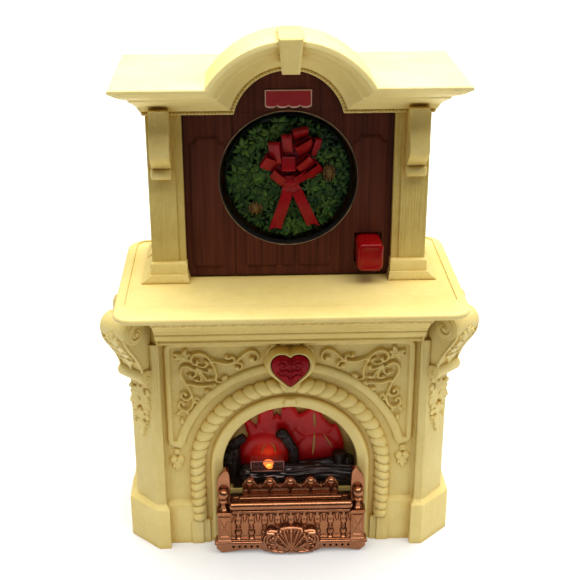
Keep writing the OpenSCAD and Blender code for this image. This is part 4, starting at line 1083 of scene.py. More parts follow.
def bracket_parts(side):
    P = chamf(side)
    flip = side < 0

    def fixF(V, F):
        return out_normals(V, F)

    M = Mesh()
    front = crom([(13.75, 104.2), (13.3, 100.8), (11.5, 97.4), (9.2, 94.0), (7.1, 90.6), (5.6, 87.2), (4.9, 84.8), (4.6, 83.2)], 0.5)
    web = [(-0.9, 115.6), (5.2, 115.6), (6.6, 113.5), (6.6, 108.0)] + [(max(a - 0.9, 0.4), b) for a, b in front.tolist()] + [(2.6, 80.4), (-0.9, 79.6)]

    def bx(poly, u0, u1, inset=0.0):
        poly = np.array(poly)
        rings = []
        for u in (u0, u1):
            rings.append(P(np.full(len(poly), u), poly[:, 1], poly[:, 0]).tolist())
        V, F = loft(rings)
        M.put(V, fixF(V, F))

    bx(web, -6.3, 6.3)

    def roll(c, zc, r, u0, u1, n=56, e=0.6):
        rings = []
        for u, rr in ((u0, r - e), (u0 + e * 0.3, r - e * 0.3), (u0 + e, r), (u1 - e, r), (u1 - e * 0.3, r - e * 0.3), (u1, r - e)):
            a = np.linspace(0, 2 * pi, n, endpoint=False)
            rings.append(P(np.full(n, u), zc + rr * np.sin(a), c + rr * np.cos(a)).tolist())
        V, F = loft(rings)
        M.put(V, fixF(V, F))

    roll(8.0, 104.2, 5.75, -7.3, 7.3, e=0.9)
    roll(2.7, 82.5, 3.15, -7.4, 7.4, e=0.7)
    body = M.add("surround_bracket_" + ("left" if flip else "right"), CREAM_F, slot="cream_plastic", sharp=38)

    # scrolled ends of the rolls
    S = Mesh()
    for u in (-7.25, 7.25):
        for c, zc, r0, turns, w in ((7.4, 103.6, 4.0, 1.35, 0.62), (2.7, 82.5, 2.1, 0.9, 0.40)):
            a = np.linspace(0, 1, 60)
            rr = r0 * (1 - a) ** 0.9 + 0.35
            th = math.radians(120) - a * 2 * pi * turns * (1 if u < 0 else 1)
            pts = P(np.full(60, u), zc + rr * np.sin(th), c + rr * np.cos(th))
            S.put(*tube(pts, lambda t, w=w: w * (1 - 0.35 * t), 10, 0.3, smooth=False))
            S.put(*ballm(P(np.array([u]), np.array([zc]), np.array([c]))[0], w * 1.6, 14))
    # edge beads down the sides of the S
    for u in (-6.2, 6.2):
        pts = P(np.full(len(front), u), front[:, 1], front[:, 0] - 0.55)
        S.put(*tube(pts, 0.62, 10, 0.4, smooth=False))
    S.add("surround_bracket_scroll_" + ("left" if flip else "right"), CREAM, slot="cream_plastic", sharp=50)

    # leaf relief on the curved front: a field over (u, arc length)
    arc = np.concatenate([[0], np.cumsum(np.linalg.norm(np.diff(front, axis=0), axis=1))])
    L = arc[-1]
    fd = Field(-6.0, 6.0, 0.0, L, 0.16)
    for s_, a1, LL, W in ((19.0, 90, 5.6, 2.0), (15.5, 58, 6.0, 1.9), (15.5, 122, 6.0, 1.9), (11.5, 48, 6.2, 1.9), (11.5, 132, 6.2, 1.9), (7.6, 40, 6.0, 1.8), (7.6, 140, 6.0, 1.8), (4.0, 30, 5.4, 1.5), (4.0, 150, 5.4, 1.5), (1.4, 78, 6.0, 1.6), (1.4, 102, 6.0, 1.6)):
        fd.leaf(0.0, L - s_ if False else max(0.2, L - s_ - 1.5), a1 + 180, LL, W, 1.35, crease=0.5, tip=-0.1)
    fd.stroke([(0, 0.3), (0, L - 1)], 0.55, 1.3, 0.8, 1.2)
    for s_ in (3.5, 8.0, 12.5):
        for sg in (-1, 1):
            fd.curl((sg * 3.9, s_ + 0.6), 1.5, 0.4, 90 if sg > 0 else 90, sg * 1.15, 0.45, 1.25)
    fd.blur(0.13)
    edge = np.clip((6.0 - np.abs(fd.U)) / 0.6, 0, 1)
    fd.H *= edge
    tang = np.gradient(front, axis=0)
    tang /= np.linalg.norm(tang, axis=1)[:, None]
    nrm = np.stack([-tang[:, 1], tang[:, 0]], axis=1)
    if nrm[:, 0].mean() < 0:
        nrm = -nrm

    def place(u, v, h):
        o = np.interp(v, arc, front[:, 0]) + h * np.interp(v, arc, nrm[:, 0])
        z = np.interp(v, arc, front[:, 1]) + h * np.interp(v, arc, nrm[:, 1])
        return P(u, z, o - 0.75)

    V, F = sheet_mesh(fd, place, None, None, back=0.6)
    F = out_normals(V, F.tolist())
    lf = add("surround_bracket_leaves_" + ("left" if flip else "right"), V, F, CREAM, slot="cream_plastic", sharp=0)

    # foliage and flower drop below
    g = Field(-6.6, 6.6, 49.5, 80.8, 0.16)
    for cx, cz, r in ((0.0, 73.4, 2.3), (-3.6, 70.6, 1.9), (3.4, 70.8, 1.9), (0.0, 62.4, 1.9)):
        g.ball(cx, cz, r * 0.6, 1.45)
        for a in range(0, 360, 60):
            g.leaf(cx * 0.85, cz, a + cx * 20 + 15, r * 1.6, r * 0.74, 1.5, crease=0.25, tip=-0.05)
    for x, z, a, LL, W in ((0, 76.2, 90, 4.0, 1.7), (-1.4, 76, 140, 5.4, 1.8), (1.4, 76, 40, 5.4, 1.8), (-3.4, 73.8, 175, 3.4, 1.6), (3.4, 73.8, 5, 3.4, 1.6), (-3.4, 69, 220, 4.0, 1.7), (3.4, 69, 320, 4.0, 1.7), (-0.9, 70.2, 250, 5.4, 1.8), (1.0, 70.2, 292, 5.4, 1.8), (-1.7, 65.6, 205, 3.8, 1.5), (1.7, 65.6, 335, 3.8, 1.5), (0, 60.0, 250, 4.6, 1.6), (0.3, 60.2, 292, 4.6, 1.6), (-2.0, 62.2, 190, 3.4, 1.4), (2.0, 62.2, 350, 3.4, 1.4), (0, 57.2, 270, 5.6, 1.5)):
        g.leaf(x * 0.95, z, a, LL * 0.98, W * 1.25, 1.45, crease=0.3, tip=0.0)
    for cx, cz, sg in ((-4.2, 66.6, 1), (4.2, 66.6, -1), (-3.0, 58.6, 1), (3.0, 58.6, -1), (-4.4, 77.4, -1), (4.4, 77.4, 1)):
        g.curl((cx, cz), 1.4, 0.3, 90, sg * 1.2, 0.5, 1.2)
    g.blur(0.12)
    keep = gblur((g.H > 0.25).astype(float), 0.30 / g.res) > 0.25
    V, F = sheet_mesh(g, lambda u, v, h: P(u, v, h + 0.02), keep, None, back=0.8)
    F = out_normals(V, F.tolist())
    add("surround_foliage_drop_" + ("left" if flip else "right"), V, F, CREAM, slot="cream_plastic", sharp=0)


bracket_parts(1)
bracket_parts(-1)


# ---------------------------------------------------------------- heart button
def heart_button():
    poly = heart_poly(15.2, 13.9, 200, HTIP + 0.05)
    fd = Field(-8.2, 8.2, 76.5, 94.5, 0.13)
    P = np.stack([fd.U.ravel(), fd.V.ravel()], axis=1)
    Q, d = near(poly, P)
    d = d.reshape(fd.U.shape)
    ins = inside(poly, fd.U, fd.V)
    dome = np.clip(d / 2.3, 0, 1)
    H = 1.0 * np.sqrt(np.clip(1 - (1 - dome) ** 2, 0, 1))
    dd = Field(-8.2, 8.2, 76.5, 94.5, 0.13)
    for sg in (-1, 1):
        # leafy scrolls each side of a middle stem
        dd.stroke([(sg * 0.3, 79.6), (sg * 1.0, 81.4), (sg * 2.6, 82.4), (sg * 4.2, 82.2), (sg * 4.9, 83.2)], 0.36, 0.62, 0.26, 0.5, wm=0.46)
        dd.stroke([(sg * 0.4, 83.6), (sg * 1.6, 84.6), (sg * 3.4, 84.2), (sg * 4.6, 85.4), (sg * 4.4, 87.2), (sg * 3.0, 87.8), (sg * 2.0, 86.9), (sg * 2.6, 86.0)], 0.40, 0.66, 0.28, 0.55, wm=0.48)
        dd.stroke([(sg * 0.5, 87.0), (sg * 1.3, 88.6), (sg * 2.8, 89.4), (sg * 4.2, 88.8)], 0.34, 0.6, 0.28, 0.5)
        dd.ball(sg * 5.0, 83.4, 0.5, 0.6)
    dd.stroke([(0, 78.8), (0, 88.2)], 0.34, 0.62)
    dd.ball(0, 88.4, 0.6, 0.65)
    dd.blur(0.1)
    fd.H = H + dd.H
    V, F = sheet_mesh(fd, on_front(-3.1), ins | (d < fd.res * 0.8), [poly], back=3.2)
    return V, F


V_, F_ = heart_button()
hb = add("heart_button_face", V_, F_, HEART, body="heart", slot="heart_red", sharp=50)
M = Mesh()
M.put(*prism(heart_poly(16.8, 15.6, 60, HTIP - 0.3), -0.2, 1.4, "y"))
M.put(*lathe([(2.4, -8.9), (2.4, -0.5)], 32, (0, 0, 84), "y"))
hs = M.add("heart_button_stem", HEART, body="heart", slot="heart_red", bevel=0.2)
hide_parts("heart_button")


# ---------------------------------------------------------------- shelf
def round_plan(hw, yf, yb, rf, rb, n=10):
    P = []
    for cx, cy, r, a0 in ((hw - rf, yf + rf, rf, -90), (hw - rb, yb - rb, rb, 0), (-hw + rb, yb - rb, rb, 90), (-hw + rf, yf + rf, rf, 180)):
        for k in range(n + 1):
            a = math.radians(a0 + 90 * k / n)
            P.append((cx + r * math.cos(a), cy + r * math.sin(a)))
    return P


def shelf_slab():
    M = Mesh()
    rings = []
    for z, g in ((116.0, 1.2), (116.1, 0.5), (116.5, 0.12), (117.0, 0.0), (117.6, 0.0), (118.1, 0.16), (118.4, 0.5), (118.5, 1.1)):
        rings.append([(x, y, z) for x, y in round_plan(67.2 - g, -27 + g, 57 - g, 8 - g * 0.6, 9 - g * 0.6)])
    # step down along the inset line, then the flat field
    for z, g in ((118.5, 3.6), (118.45, 3.75), (118.02, 3.9), (117.96, 4.1)):
        rings.append([(x, y, z) for x, y in round_plan(67.2 - g, -27 + 8.2 + g, 57 - 0.2 * g - 1.0, 3.0, 5.0)])
    V, F = loft(rings)
    M.put(V, out_normals(V, F))
    return M


sh = shelf_slab().add("mantel_shelf_top", CREAM_TOP, slot="cream_plastic", sharp=40)
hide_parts("mantel_shelf")


def bed_mould():
    M = Mesh()
    prof = [(3.0, 96.05), (-2.7, 96.05), (-3.3, 96.5), (-3.5, 97.4), (-3.2, 98.3), (-4.0, 98.9), (-5.6, 99.5), (-7.4, 101.0), (-8.5, 102.3), (-8.7, 102.9), (-8.5, 103.6), (-9.2, 104.1), (-10.8, 104.6), (-11.7, 105.6), (-12.0, 106.4), (-12.6, 106.9), (-13.8, 107.3), (-15.7, 109.0), (-18.3, 111.2), (-20.7, 112.4), (-21.4, 112.7), (-21.6, 113.6), (-22.9, 115.1), (-23.3, 116.2), (3.0, 116.2)]
    a = [(-53.1, y, z) for y, z in prof]
    b = [(53.1, y, z) for y, z in prof]
    V, F = loft([a, b])
    M.put(V, out_normals(V, F))
    # wings that run back round the corners, over the brackets
    for sg in (-1, 1):
        V, F = prism([(sg * 52.0, -4.0), (sg * 53.1, -4.0), (sg * 53.1, -1.4), (sg * 53.8, -1.1), (sg * 65.8, 9.9), (sg * 66.4, 10.6), (sg * 66.4, 56.8), (sg * 64.5, 56.8), (sg * 64.5, 11.4), (sg * 52.4, 0.6)], 96.05, 116.1, "z")
        M.put(V, F)
    M.put(*boxm(-65, 65, 54.9, 56.8, 110, 116.1))
    return M


bed_mould().add("mantel_bed_moulding", CREAM_BED_SHADED, slot="cream_plastic", bevel=0.22, seg=2)


def scallops():
    M = Mesh()
    n = 29
    for i in range(n):
        x = -51.8 + 103.6 * i / (n - 1)
        rings = []
        for y, g in ((-20.6, 0.0), (-22.6, 0.0), (-23.0, 0.3)):
            ring = []
            for k in range(13):
                a = pi + pi * k / 12
                ring.append((x + (1.72 - g) * math.cos(a), y, 114.9 + (1.95 - g) * math.sin(a)))
            ring.append((x + 1.72 - g, y, 116.1))
            ring.append((x - 1.72 + g, y, 116.1))
            rings.append(ring)
        V, F = loft(rings)
        M.put(V, out_normals(V, F))
    return M


scallops().add("mantel_scallop_trim", CREAM, slot="cream_plastic", bevel=0.15, seg=2)


# ---------------------------------------------------------------- overmantel
ZA = 180.6
COR = [(10.0, 185.4), (9.5, 186.9), (8.9, 187.3), (8.3, 187.9), (7.7, 188.9), (6.0, 190.0), (3.2, 191.3), (0.6, 192.4), (-1.4, 193.2), (-1.9, 193.5), (-2.2, 194.2), (-3.4, 194.75), (-5.6, 195.4), (-7.8, 196.15), (-9.4, 197.0), (-10.5, 198.0), (-10.8, 198.35), (-11.15, 198.5), (-11.2, 199.5), (-10.95, 199.9), (-10.5, 200.0)]


def side_hw(z):
    zs = [185.4, 187.0, 187.4, 189.0, 191.4, 193.5, 194.2, 195.8, 197.2, 198.3, 198.5, 199.5, 200.0]
    hs = [54.9, 55.4, 55.8, 56.4, 57.4, 58.4, 58.9, 60.6, 62.8, 64.4, 65.0, 65.0, 64.5]
    return float(np.interp(z, zs, hs))


def cornice():
    M = Mesh()
    rings = []
    for y, z in COR:
        R = z - 164.2
        xin = math.sqrt(max(R * R - (z - ZA) ** 2, 1))
        hw = side_hw(z)
        yb = 50.0
        rings.append([(-xin, y, z), (-xin, 18.2, z), (-xin, yb, z), (-hw, yb, z), (-hw, y, z)])
    V, F = loft(rings)
    M.put(V, out_normals(V, F))
    M.mirror()
    M.put(*boxm(-30.4, 30.4, 17.9, 50.0, 187.0, 199.96))
    return M


co = cornice().add("overmantel_cornice", CREAM_CORNICE_LIT, slot="cream_plastic", bevel=0.25, seg=2)
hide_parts("overmantel_frame")


def arch_hood():
    """Arched hood mitred into the cornice: the same moulding, turned round the arch."""
    rings = []
    prof = [(COR[0][0] + 4.2, 185.4)] + COR + [(17.2, 200.0), (18.0, 199.2), (18.0, 190.0), (14.2, 190.0)]
    # drop the cornice profile onto radii; each profile point starts on the mitre
    n = 96
    grid = []
    for i, (y, z) in enumerate(prof):
        R = z - 164.2 + (0.4 if z >= 199.9 else 0.0)
        zz = z if 1 <= i <= len(COR) else (185.4 if i == 0 else (200.0 if i <= len(COR) + 1 else 190.0))
        zz = min(zz, 200.0)
        a0 = math.asin(max(min((zz - ZA) / R, 1), -1))
        row = []
        for k in range(n + 1):
            a = (pi - a0) + (2 * a0 - pi) * k / n
            row.append((R * math.cos(a), y, ZA + R * math.sin(a)))
        grid.append(row)
    rings = [[grid[i][k] for i in range(len(prof))] for k in range(n + 1)]
    V, F = loft(rings)
    M = Mesh()
    M.put(V, out_normals(V, F))
    # back of the vault
    pts = [(35.0 * math.cos(a), ZA + 35.0 * math.sin(a)) for a in np.linspace(math.radians(33), pi - math.radians(33), 48)]
    M.put(*prism(pts, 16.7, 18.0, "y"))
    return M


arch_hood().add("overmantel_arch_hood", CREAM_HOOD_LIT, slot="cream_plastic", sharp=32)


def bead_row():
    """Fine beaded line under the cornice and round the arch."""
    M = Mesh()
    pitch = 1.32

    def bead(x, y, z, r=0.74):
        V, F = ballm((x, y, z), r, 10)
        M.put(V, F)

    R = 22.1
    a0 = math.asin((186.2 - ZA) / R)
    L = (pi - 2 * a0) * R
    n = int(L / pitch)
    for k in range(n + 1):
        a = a0 + (pi - 2 * a0) * k / n
        bead(R * math.cos(a), 9.7, ZA + R * math.sin(a))
    x0 = R * math.cos(a0)
    n = int((54.4 - x0) / pitch)
    for k in range(1, n + 1):
        x = x0 + (54.4 - x0) * k / n
        bead(x, 9.7, 186.2)
        bead(-x, 9.7, 186.2)
    return M


bead_row().add("overmantel_bead_line", CREAM, slot="cream_plastic", sharp=0)


def keystone():
    M = Mesh()
    rings = []
    for y, g in ((9.0, 0.0), (-12.6, 0.0), (-13.2, 0.55)):
        rings.append([(-3.2 + g, y, 205.2 + g), (3.2 - g, y, 205.2 + g), (4.4 - g, y, 218.0 - g), (-4.4 + g, y, 218.0 - g)])
    V, F = loft(rings)
    M.put(V, out_normals(V, F))
    # points for a pale rim round the face; they are not used, so no rim is built
    rim = [(-2.9, 205.9), (2.9, 205.9), (3.95, 217.3), (-3.95, 217.3)]
    return M


keystone().add("overmantel_keystone", CREAM_F, slot="cream_plastic", bevel=0.3, seg=3)


def pillars():
    M = Mesh()
    # face, inner strip, side return
    M.put(*boxm(43.3, 54.0, 11.5, 16.4, 118.3, 187.2))
    M.put(*boxm(40.5, 43.6, 12.1, 15.9, 118.3, 187.2))
    M.put(*boxm(51.8, 54.0, 12.0, 34.0, 118.3, 187.2))
    return M.mirror()


pillars().add("overmantel_pillars", CREAM_PILLAR_SHADED, slot="cream_plastic", bevel=0.35, seg=3)


def feet():
    M = Mesh()
    rings = []
    prof = [(118.1, 39.3, 58.4, 8.0), (118.6, 39.3, 58.4, 8.0), (119.2, 39.5, 57.2, 8.2), (120.4, 39.8, 55.8, 8.6), (121.3, 39.9, 55.2, 8.9), (121.35, 40.1, 54.7, 9.5), (125.1, 40.1, 54.7, 9.7), (125.8, 40.25, 54.5, 10.1), (126.2, 40.6, 54.1, 11.2)]
    for z, x0, x1, yf in prof:
        rings.append([(x0, yf, z), (x1, yf, z), (x1, 34.0, z), (x0 + 12.0, 34.0, z), (x0 + 12.0, 16.2, z), (x0, 16.2, z)])
    V, F = loft(rings)
    M.put(V, out_normals(V, F))
    return M.mirror()


feet().add("overmantel_feet", CREAM_F, slot="cream_plastic", bevel=0.3, seg=3)


def corbels():
    M = Mesh()
    prof = [(12.0, 188.4), (4.9, 188.4), (4.9, 186.6), (4.5, 184.6), (3.7, 182.4), (2.6, 180.0), (1.5, 177.8), (0.7, 175.6), (0.45, 173.6), (0.8, 172.0), (1.8, 170.6), (3.4, 169.3), (5.2, 168.1), (6.8, 166.9), (7.9, 165.9), (8.5, 165.2), (9.0, 164.8), (12.0, 164.4)]
    a = [(44.8, y, z) for y, z in prof]
    b = [(52.3, y, z) for y, z in prof]
    V, F = loft([a, b])
    M.put(V, out_normals(V, F))
    V, F = lathe([(1.5, 44.5), (2.1, 44.8), (2.25, 45.2), (2.25, 51.9), (2.1, 52.3), (1.5, 52.6)], 36, (0, 9.4, 162.9), "x")
    M.put(V, F)
    return M.mirror()


corbels().add("overmantel_corbels", CREAM_F, slot="cream_plastic", bevel=0.3, seg=3)


# ---------------------------------------------------------------- brown panel
WZ = 158.5


def panel_field():
    fd = Field(-40.6, 40.6, 118.7, 185.2, 0.2)
    U, V = fd.U, fd.V

    def raised(x0, x1, z0, z1, r, h=0.75, shoulder=0.0):
        cx, cz = (x0 + x1) / 2, (z0 + z1) / 2
        qx = np.abs(U - cx) - (x1 - x0) / 2 + r
        qz = np.abs(V - cz) - (z1 - z0) / 2 + r
        d = np.minimum(np.maximum(qx, qz), 0) + np.hypot(np.maximum(qx, 0), np.maximum(qz, 0)) - r
        if shoulder:
            for sx in (x0, x1):
                d = np.maximum(d, shoulder - np.hypot(U - sx, V - z1))
        fd.H = np.maximum(fd.H, h * np.clip(-d / 0.9, 0, 1) ** 0.7)
        # narrow groove round the raised part
        fd.H = fd.H - 0.25 * np.exp(-((d - 0.35) / 0.35) ** 2)

    for sg in (-1, 1):
        a, b = sorted((sg * 24.6, sg * 38.2))
        raised(a, b, 122.4, 175.8, 2.6, shoulder=2.6)
    raised(-17.3, -3.9, 122.4, 150, 1.8)
    raised(3.5, 16.9, 122.4, 150, 1.8)
    raised(-2.6, 2.2, 122.4, 150, 1.0, h=0.45)
    # plank joints
    for x in (-21.2, 20.8):
        fd.H -= 0.35 * np.exp(-((U - x) / 0.25) ** 2)
    fd.H = gblur(fd.H, 0.12 / fd.res)
    R = np.hypot(U, V - WZ)
    hole = (R < 27.0)
    knob = (U > 26.0) & (U < 36.8) & (V > 123.9) & (V < 136.3)
    circ = [(27.0 * math.cos(a), WZ + 27.0 * math.sin(a)) for a in np.linspace(0, 2 * pi, 160, endpoint=False)]
    rect = [(26.0, 123.9), (36.8, 123.9), (36.8, 136.3), (26.0, 136.3)]
    V_, F_ = sheet_mesh(fd, on_front(14.5), ~(hole | knob), [circ, rect], back=1.9)
    return V_, F_


V_, F_ = panel_field()
pn = add("overmantel_panel_face", V_, F_, BROWN, slot="brown_plastic", sharp=50)
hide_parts("overmantel_panel")
M = Mesh()
pts = [(22.9 * math.cos(a), ZA + 22.9 * math.sin(a)) for a in np.linspace(math.radians(11), pi - math.radians(11), 64)]
M.put(*prism(pts, 14.5, 16.4, "y"))
M.put(*boxm(-44.4, -40.4, 15.9, 16.4, 118.7, 185.2))
M.put(*boxm(40.4, 44.4, 15.9, 16.4, 118.7, 185.2))
M.add("overmantel_panel_tympanum", BROWN, slot="brown_plastic", bevel=0.1, seg=2)


def window_ring():
    M = Mesh()
    n = 160
    prof = [(27.25, 14.45), (27.22, 14.2), (27.05, 14.12), (26.88, 14.2), (26.85, 14.5), (27.0, 14.8)]
    rings = [[(r * math.cos(2 * pi * k / n), y, WZ + r * math.sin(2 * pi * k / n)) for r, y in prof] for k in range(n + 1)]
    V, F = loft(rings, caps=False)
    M.put(V, out_normals(V, F))
    return M


def window_tube():
    """Black sleeve inside the round opening; its black is painted shade for the gap round the disc."""
    M = Mesh()
    n = 128
    prof = [(26.98, 14.75), (26.6, 14.8), (26.45, 15.2), (26.45, 16.45), (26.98, 16.45)]
    rings = [[(r * math.cos(2 * pi * k / n), y, WZ + r * math.sin(2 * pi * k / n)) for r, y in prof] for k in range(n + 1)]
    V, F = loft(rings, caps=False)
    M.put(V, out_normals(V, F))
    return M


window_tube().add("window_sleeve", BLACK, slot="brown_plastic", sharp=50)
window_ring().add("window_edge", EDGE_TAN, slot="brown_plastic", sharp=50)


# ---------------------------------------------------------------- badge (plain, no mark on it)
def badge():
    def outline(x0, z0, z1, r, n=4, g=0.0):
        w = 2 * (x0 - g)
        p = [(x0 - g, z1 - g), (-x0 + g, z1 - g)]
        step = w / n
        for i in range(n):
            cx = -x0 + g + step * (i + 0.5)
            for k in range(9):
                a = pi + pi * k / 8
                p.append((cx + step / 2 * math.cos(a), z0 + (r - g * 0.4) * math.sin(a)))
        return p

    o = outline(8.9, 187.55, 193.6, 0.95)
    i = outline(8.9, 188.0, 193.6, 0.9, g=0.48)
    M = Mesh()
    M.put(*prism(o, 14.0, 14.55, "y"))
    a = M.add("badge_edge", BADGE_W, slot="badge_red", bevel=0.12, seg=2)
    M = Mesh()
    M.put(*prism(i, 13.86, 14.1, "y"))
    M.add("badge_face", BADGE, slot="badge_red", bevel=0.08, seg=2)
    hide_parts("badge_plate")


badge()


# ---------------------------------------------------------------- knob
def knob():
    M = Mesh()
    rings = []
    x, z = 31.4, 130.0
    for y, hw, hz in ((5.2, 3.95, 4.35), (13.3, 3.95, 4.35), (13.3, 5.0, 5.7), (4.4, 5.15, 5.75), (3.5, 5.12, 5.72), (2.8, 4.97, 5.6), (2.35, 4.7, 5.4), (2.08, 4.3, 5.0), (1.98, 3.8, 4.5), (2.1, 3.3, 4.0), (2.16, 2.8, 3.4), (2.16, 0.5, 0.6)):
        c = min(2.3, hw * 0.46)
        ring = []
        for sx, sz in ((1, -1), (1, 1), (-1, 1), (-1, -1)):
            for k in range(8):
                a0 = {(1, -1): -90, (1, 1): 0, (-1, 1): 90, (-1, -1): 180}[(sx, sz)]
                a = math.radians(a0 + 90 * k / 7)
                ring.append((x + sx * (hw - c) + c * math.cos(a), y, z + sz * (hz - c) + c * math.sin(a)))
        rings.append(ring)
    V, F = loft(rings)
    M.put(V, out_normals(V, F))
    return M.add("flip_knob_cap", KNOB, body="knob", slot="knob_red", sharp=40)


kn = knob()


def knob_inside():
    """Guide flange, toothed rack and spring pin that move with the knob, and its return spring."""
    M = Mesh()
    for b in ((24.4, 38.4, 16.6, 18.35, 128.3, 138.1), (26.65, 28.8, 16.6, 18.35, 123.5, 128.35), (30.5, 38.4, 16.6, 18.35, 123.5, 128.35), (28.7, 30.6, 16.6, 18.35, 127.6, 128.35),
              (26.45, 27.5, 13.32, 16.7, 127.6, 133.4), (35.3, 36.35, 13.32, 16.7, 126.6, 133.4), (28.7, 34.1, 13.32, 16.7, 134.4, 135.6)):
        M.put(*boxm(*b))
    prof = [(28.8, 17.8)]
    for k in range(7):
        c = 18.697 + 2.0 * k
        prof += [(26.65, c - 0.7), (25.55, c - 0.2), (25.55, c + 0.2), (26.65, c + 0.7)]
    prof += [(26.65, 33.3), (28.8, 33.3)]
    V, F = loft([[(px, py, pz) for px, py in prof] for pz in (124.05, 127.95)])
    M.put(V, out_normals(V, F))
    M.put(*lathe([(1.45, -34.0), (1.5, -33.4), (1.5, -18.2)], 24, (33.4, 0, 132.0), "y"))
    car = M.add("flip_knob_carrier", KNOB, body="knob", slot="knob_red", bevel=0.15, seg=2)
    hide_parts("flip_knob")
    n, turns, y0, y1 = 240, 9, 18.85, 44.7
    pts = []
    for i in range(n + 1):
        t = i / n
        a = 2 * pi * turns * t
        pts.append((33.4 + 2.4 * math.cos(a), y0 + (y1 - y0) * t, 132.0 + 2.4 * math.sin(a)))
    M = Mesh()
    M.put(*tube(np.array(pts), 0.34, 8, 1.0, smooth=False))
    sp = M.add("knob_return_spring", SPRING, slot="spring_steel", sharp=0)
    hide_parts("knob_spring")
    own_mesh(sp)
    M = Mesh()
    M.put(*lathe([(2.0, -10.1), (4.4, -11.9), (5.0, -11.9), (5.0, -11.4), (2.6, -9.05), (2.0, -9.0), (0.01, -9.0)], 40, (0, 0, 84.0), "y"))
    pd = M.add("heart_rubber_pad", RUBBER, slot="rubber_grey", sharp=50)
    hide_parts("heart_pad")
    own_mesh(pd)


knob_inside()



# ---------------------------------------------------------------- wreath
def wreath():
    V, F, tone = [], [], []
    rs = np.random.default_rng(11)

    def leaf(cx, cz, ang, L, W, y, tilt, t):
        n0 = len(V)
        ca, sa = math.cos(ang), math.sin(ang)
        m = 6
        for i in range(m + 1):
            s = i / m
            w = W * (math.sin(pi * min(s * 0.94 + 0.06, 1) ** 0.85)) ** 0.8 if 0 < i < m else 0.02
            lift = tilt * s * L + 0.55 * math.sin(pi * s) * 0.6
            for q in (-1, -0.5, 0, 0.5, 1):
                a, b = s * L, q * w
                dip = (0.30 * (abs(q)) - 0.10) if q else -0.14
                yy = y - lift + dip * W * 0.8 + 0.12 * (abs(q) == 1)
                V.append((cx + a * ca - b * sa, yy, cz + a * sa + b * ca))
        for i in range(m):
            for j in range(4):
                a = n0 + i * 5 + j
                F.append([a, a + 1, a + 6, a + 5])
        # small thickness: a lower copy closes the leaf
        n1 = len(V)
        for k in range(n0, n1):
            x, yy, z = V[k]
            V.append((x, yy + 0.22, z))
        d = n1 - n0
        for i in range(m):
            for j in range(4):
                a = n0 + d + i * 5 + j
                F.append([a + 5, a + 6, a + 1, a])
        for i in range(m):
            a = n0 + i * 5
            F.append([a, a + 5, a + 5 + d, a + d])
            a = n0 + i * 5 + 4
            F.append([a + 5, a, a + d, a + 5 + d])
        tone.extend([t] * (len(V) - n0))

    # clusters of pointed leaves: rosettes spread over the ring
    cent = []
    tries = 0
    while len(cent) < 84 and tries < 30000:
        tries += 1
        r = math.sqrt(rs.uniform(4.0 ** 2, 21.8 ** 2))
        a = rs.uniform(0, 2 * pi)
        p = (r * math.cos(a), r * math.sin(a))
        if all((p[0] - q[0]) ** 2 + (p[1] - q[1]) ** 2 > 3.7 ** 2 for q in cent):
            cent.append(p)
    for cx, cz in cent:
        k = rs.integers(5, 8)
        a0 = rs.uniform(0, 2 * pi)
        tn = rs.uniform(0.1, 0.8)
        out_ = math.atan2(cz, cx) + rs.uniform(-0.5, 0.5)
        full = rs.uniform() < 0.22
        for i in range(k):
            a = a0 + 2 * pi * i / k + rs.uniform(-0.25, 0.25) if full else out_ + (i - (k - 1) / 2) * 0.52 + rs.uniform(-0.14, 0.14)
            L = rs.uniform(4.2, 5.5) * (1 - 0.05 * abs(i - (k - 1) / 2))
            r_end = math.hypot(cx + L * math.cos(a), cz + L * math.sin(a))
            if r_end > 24.3:
                L *= max(0.35, 1 - (r_end - 24.3) / L)
            # the tone is lowered towards the right and the top of the ring: painted shade
            leaf(cx, WZ + cz, a, L, L * rs.uniform(0.20, 0.25), 18.0 - rs.uniform(0.0, 0.9) + 0.12 * (i % 2), rs.uniform(0.0, 0.24), float(np.clip(tn + rs.uniform(-0.3, 0.35) - 0.35 * max(0.0, (cx + 0.5 * cz) / 20), 0, 1)))
        for i in range(3):
            a = (a0 + 2 * pi * i / 3 + 0.5) if full else out_ + pi + (i - 1) * 0.9
            leaf(cx, WZ + cz, a, 2.9, 0.72, 17.4, 0.18, float(np.clip(tn + 0.1, 0, 1)))
    # a lower layer fills the gaps
    for i in range(330):
        r = math.sqrt(rs.uniform(2.0 ** 2, 22.6 ** 2))
        a = rs.uniform(0, 2 * pi)
        b = a + rs.uniform(-1.6, 1.6)
        x, z = r * math.cos(a), r * math.sin(a)
        L = rs.uniform(4.0, 5.2)
        if math.hypot(x + L * math.cos(b), z + L * math.sin(b)) > 24.4:
            b += pi
        leaf(x, WZ + z, b, L, L * 0.26, 18.9 - rs.uniform(0, 0.3), 0.03, float(rs.uniform(0, 0.35)))
    ob = add("wreath_leaves", V, F, LEAF, body="picture", slot="leaf_green", sharp=0)
    at = ob.data.attributes.new("tone", "FLOAT", "POINT")
    at.data.foreach_set("value", np.array(tone, dtype=np.float32))
    return ob


wl = wreath()
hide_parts("wreath_relief")


def disc_face():
    """Dark disc behind the leaves with a rolled rim."""
    M = Mesh()
    M.put(*lathe([(24.55, -19.9), (24.75, -19.65), (24.75, -19.2), (24.5, -18.75), (24.1, -18.65), (23.7, -18.9), (22.5, -19.2), (0.01, -19.25)], 128, (0, 0, WZ), "y"))
    return M


DISC_VIS = disc_face()


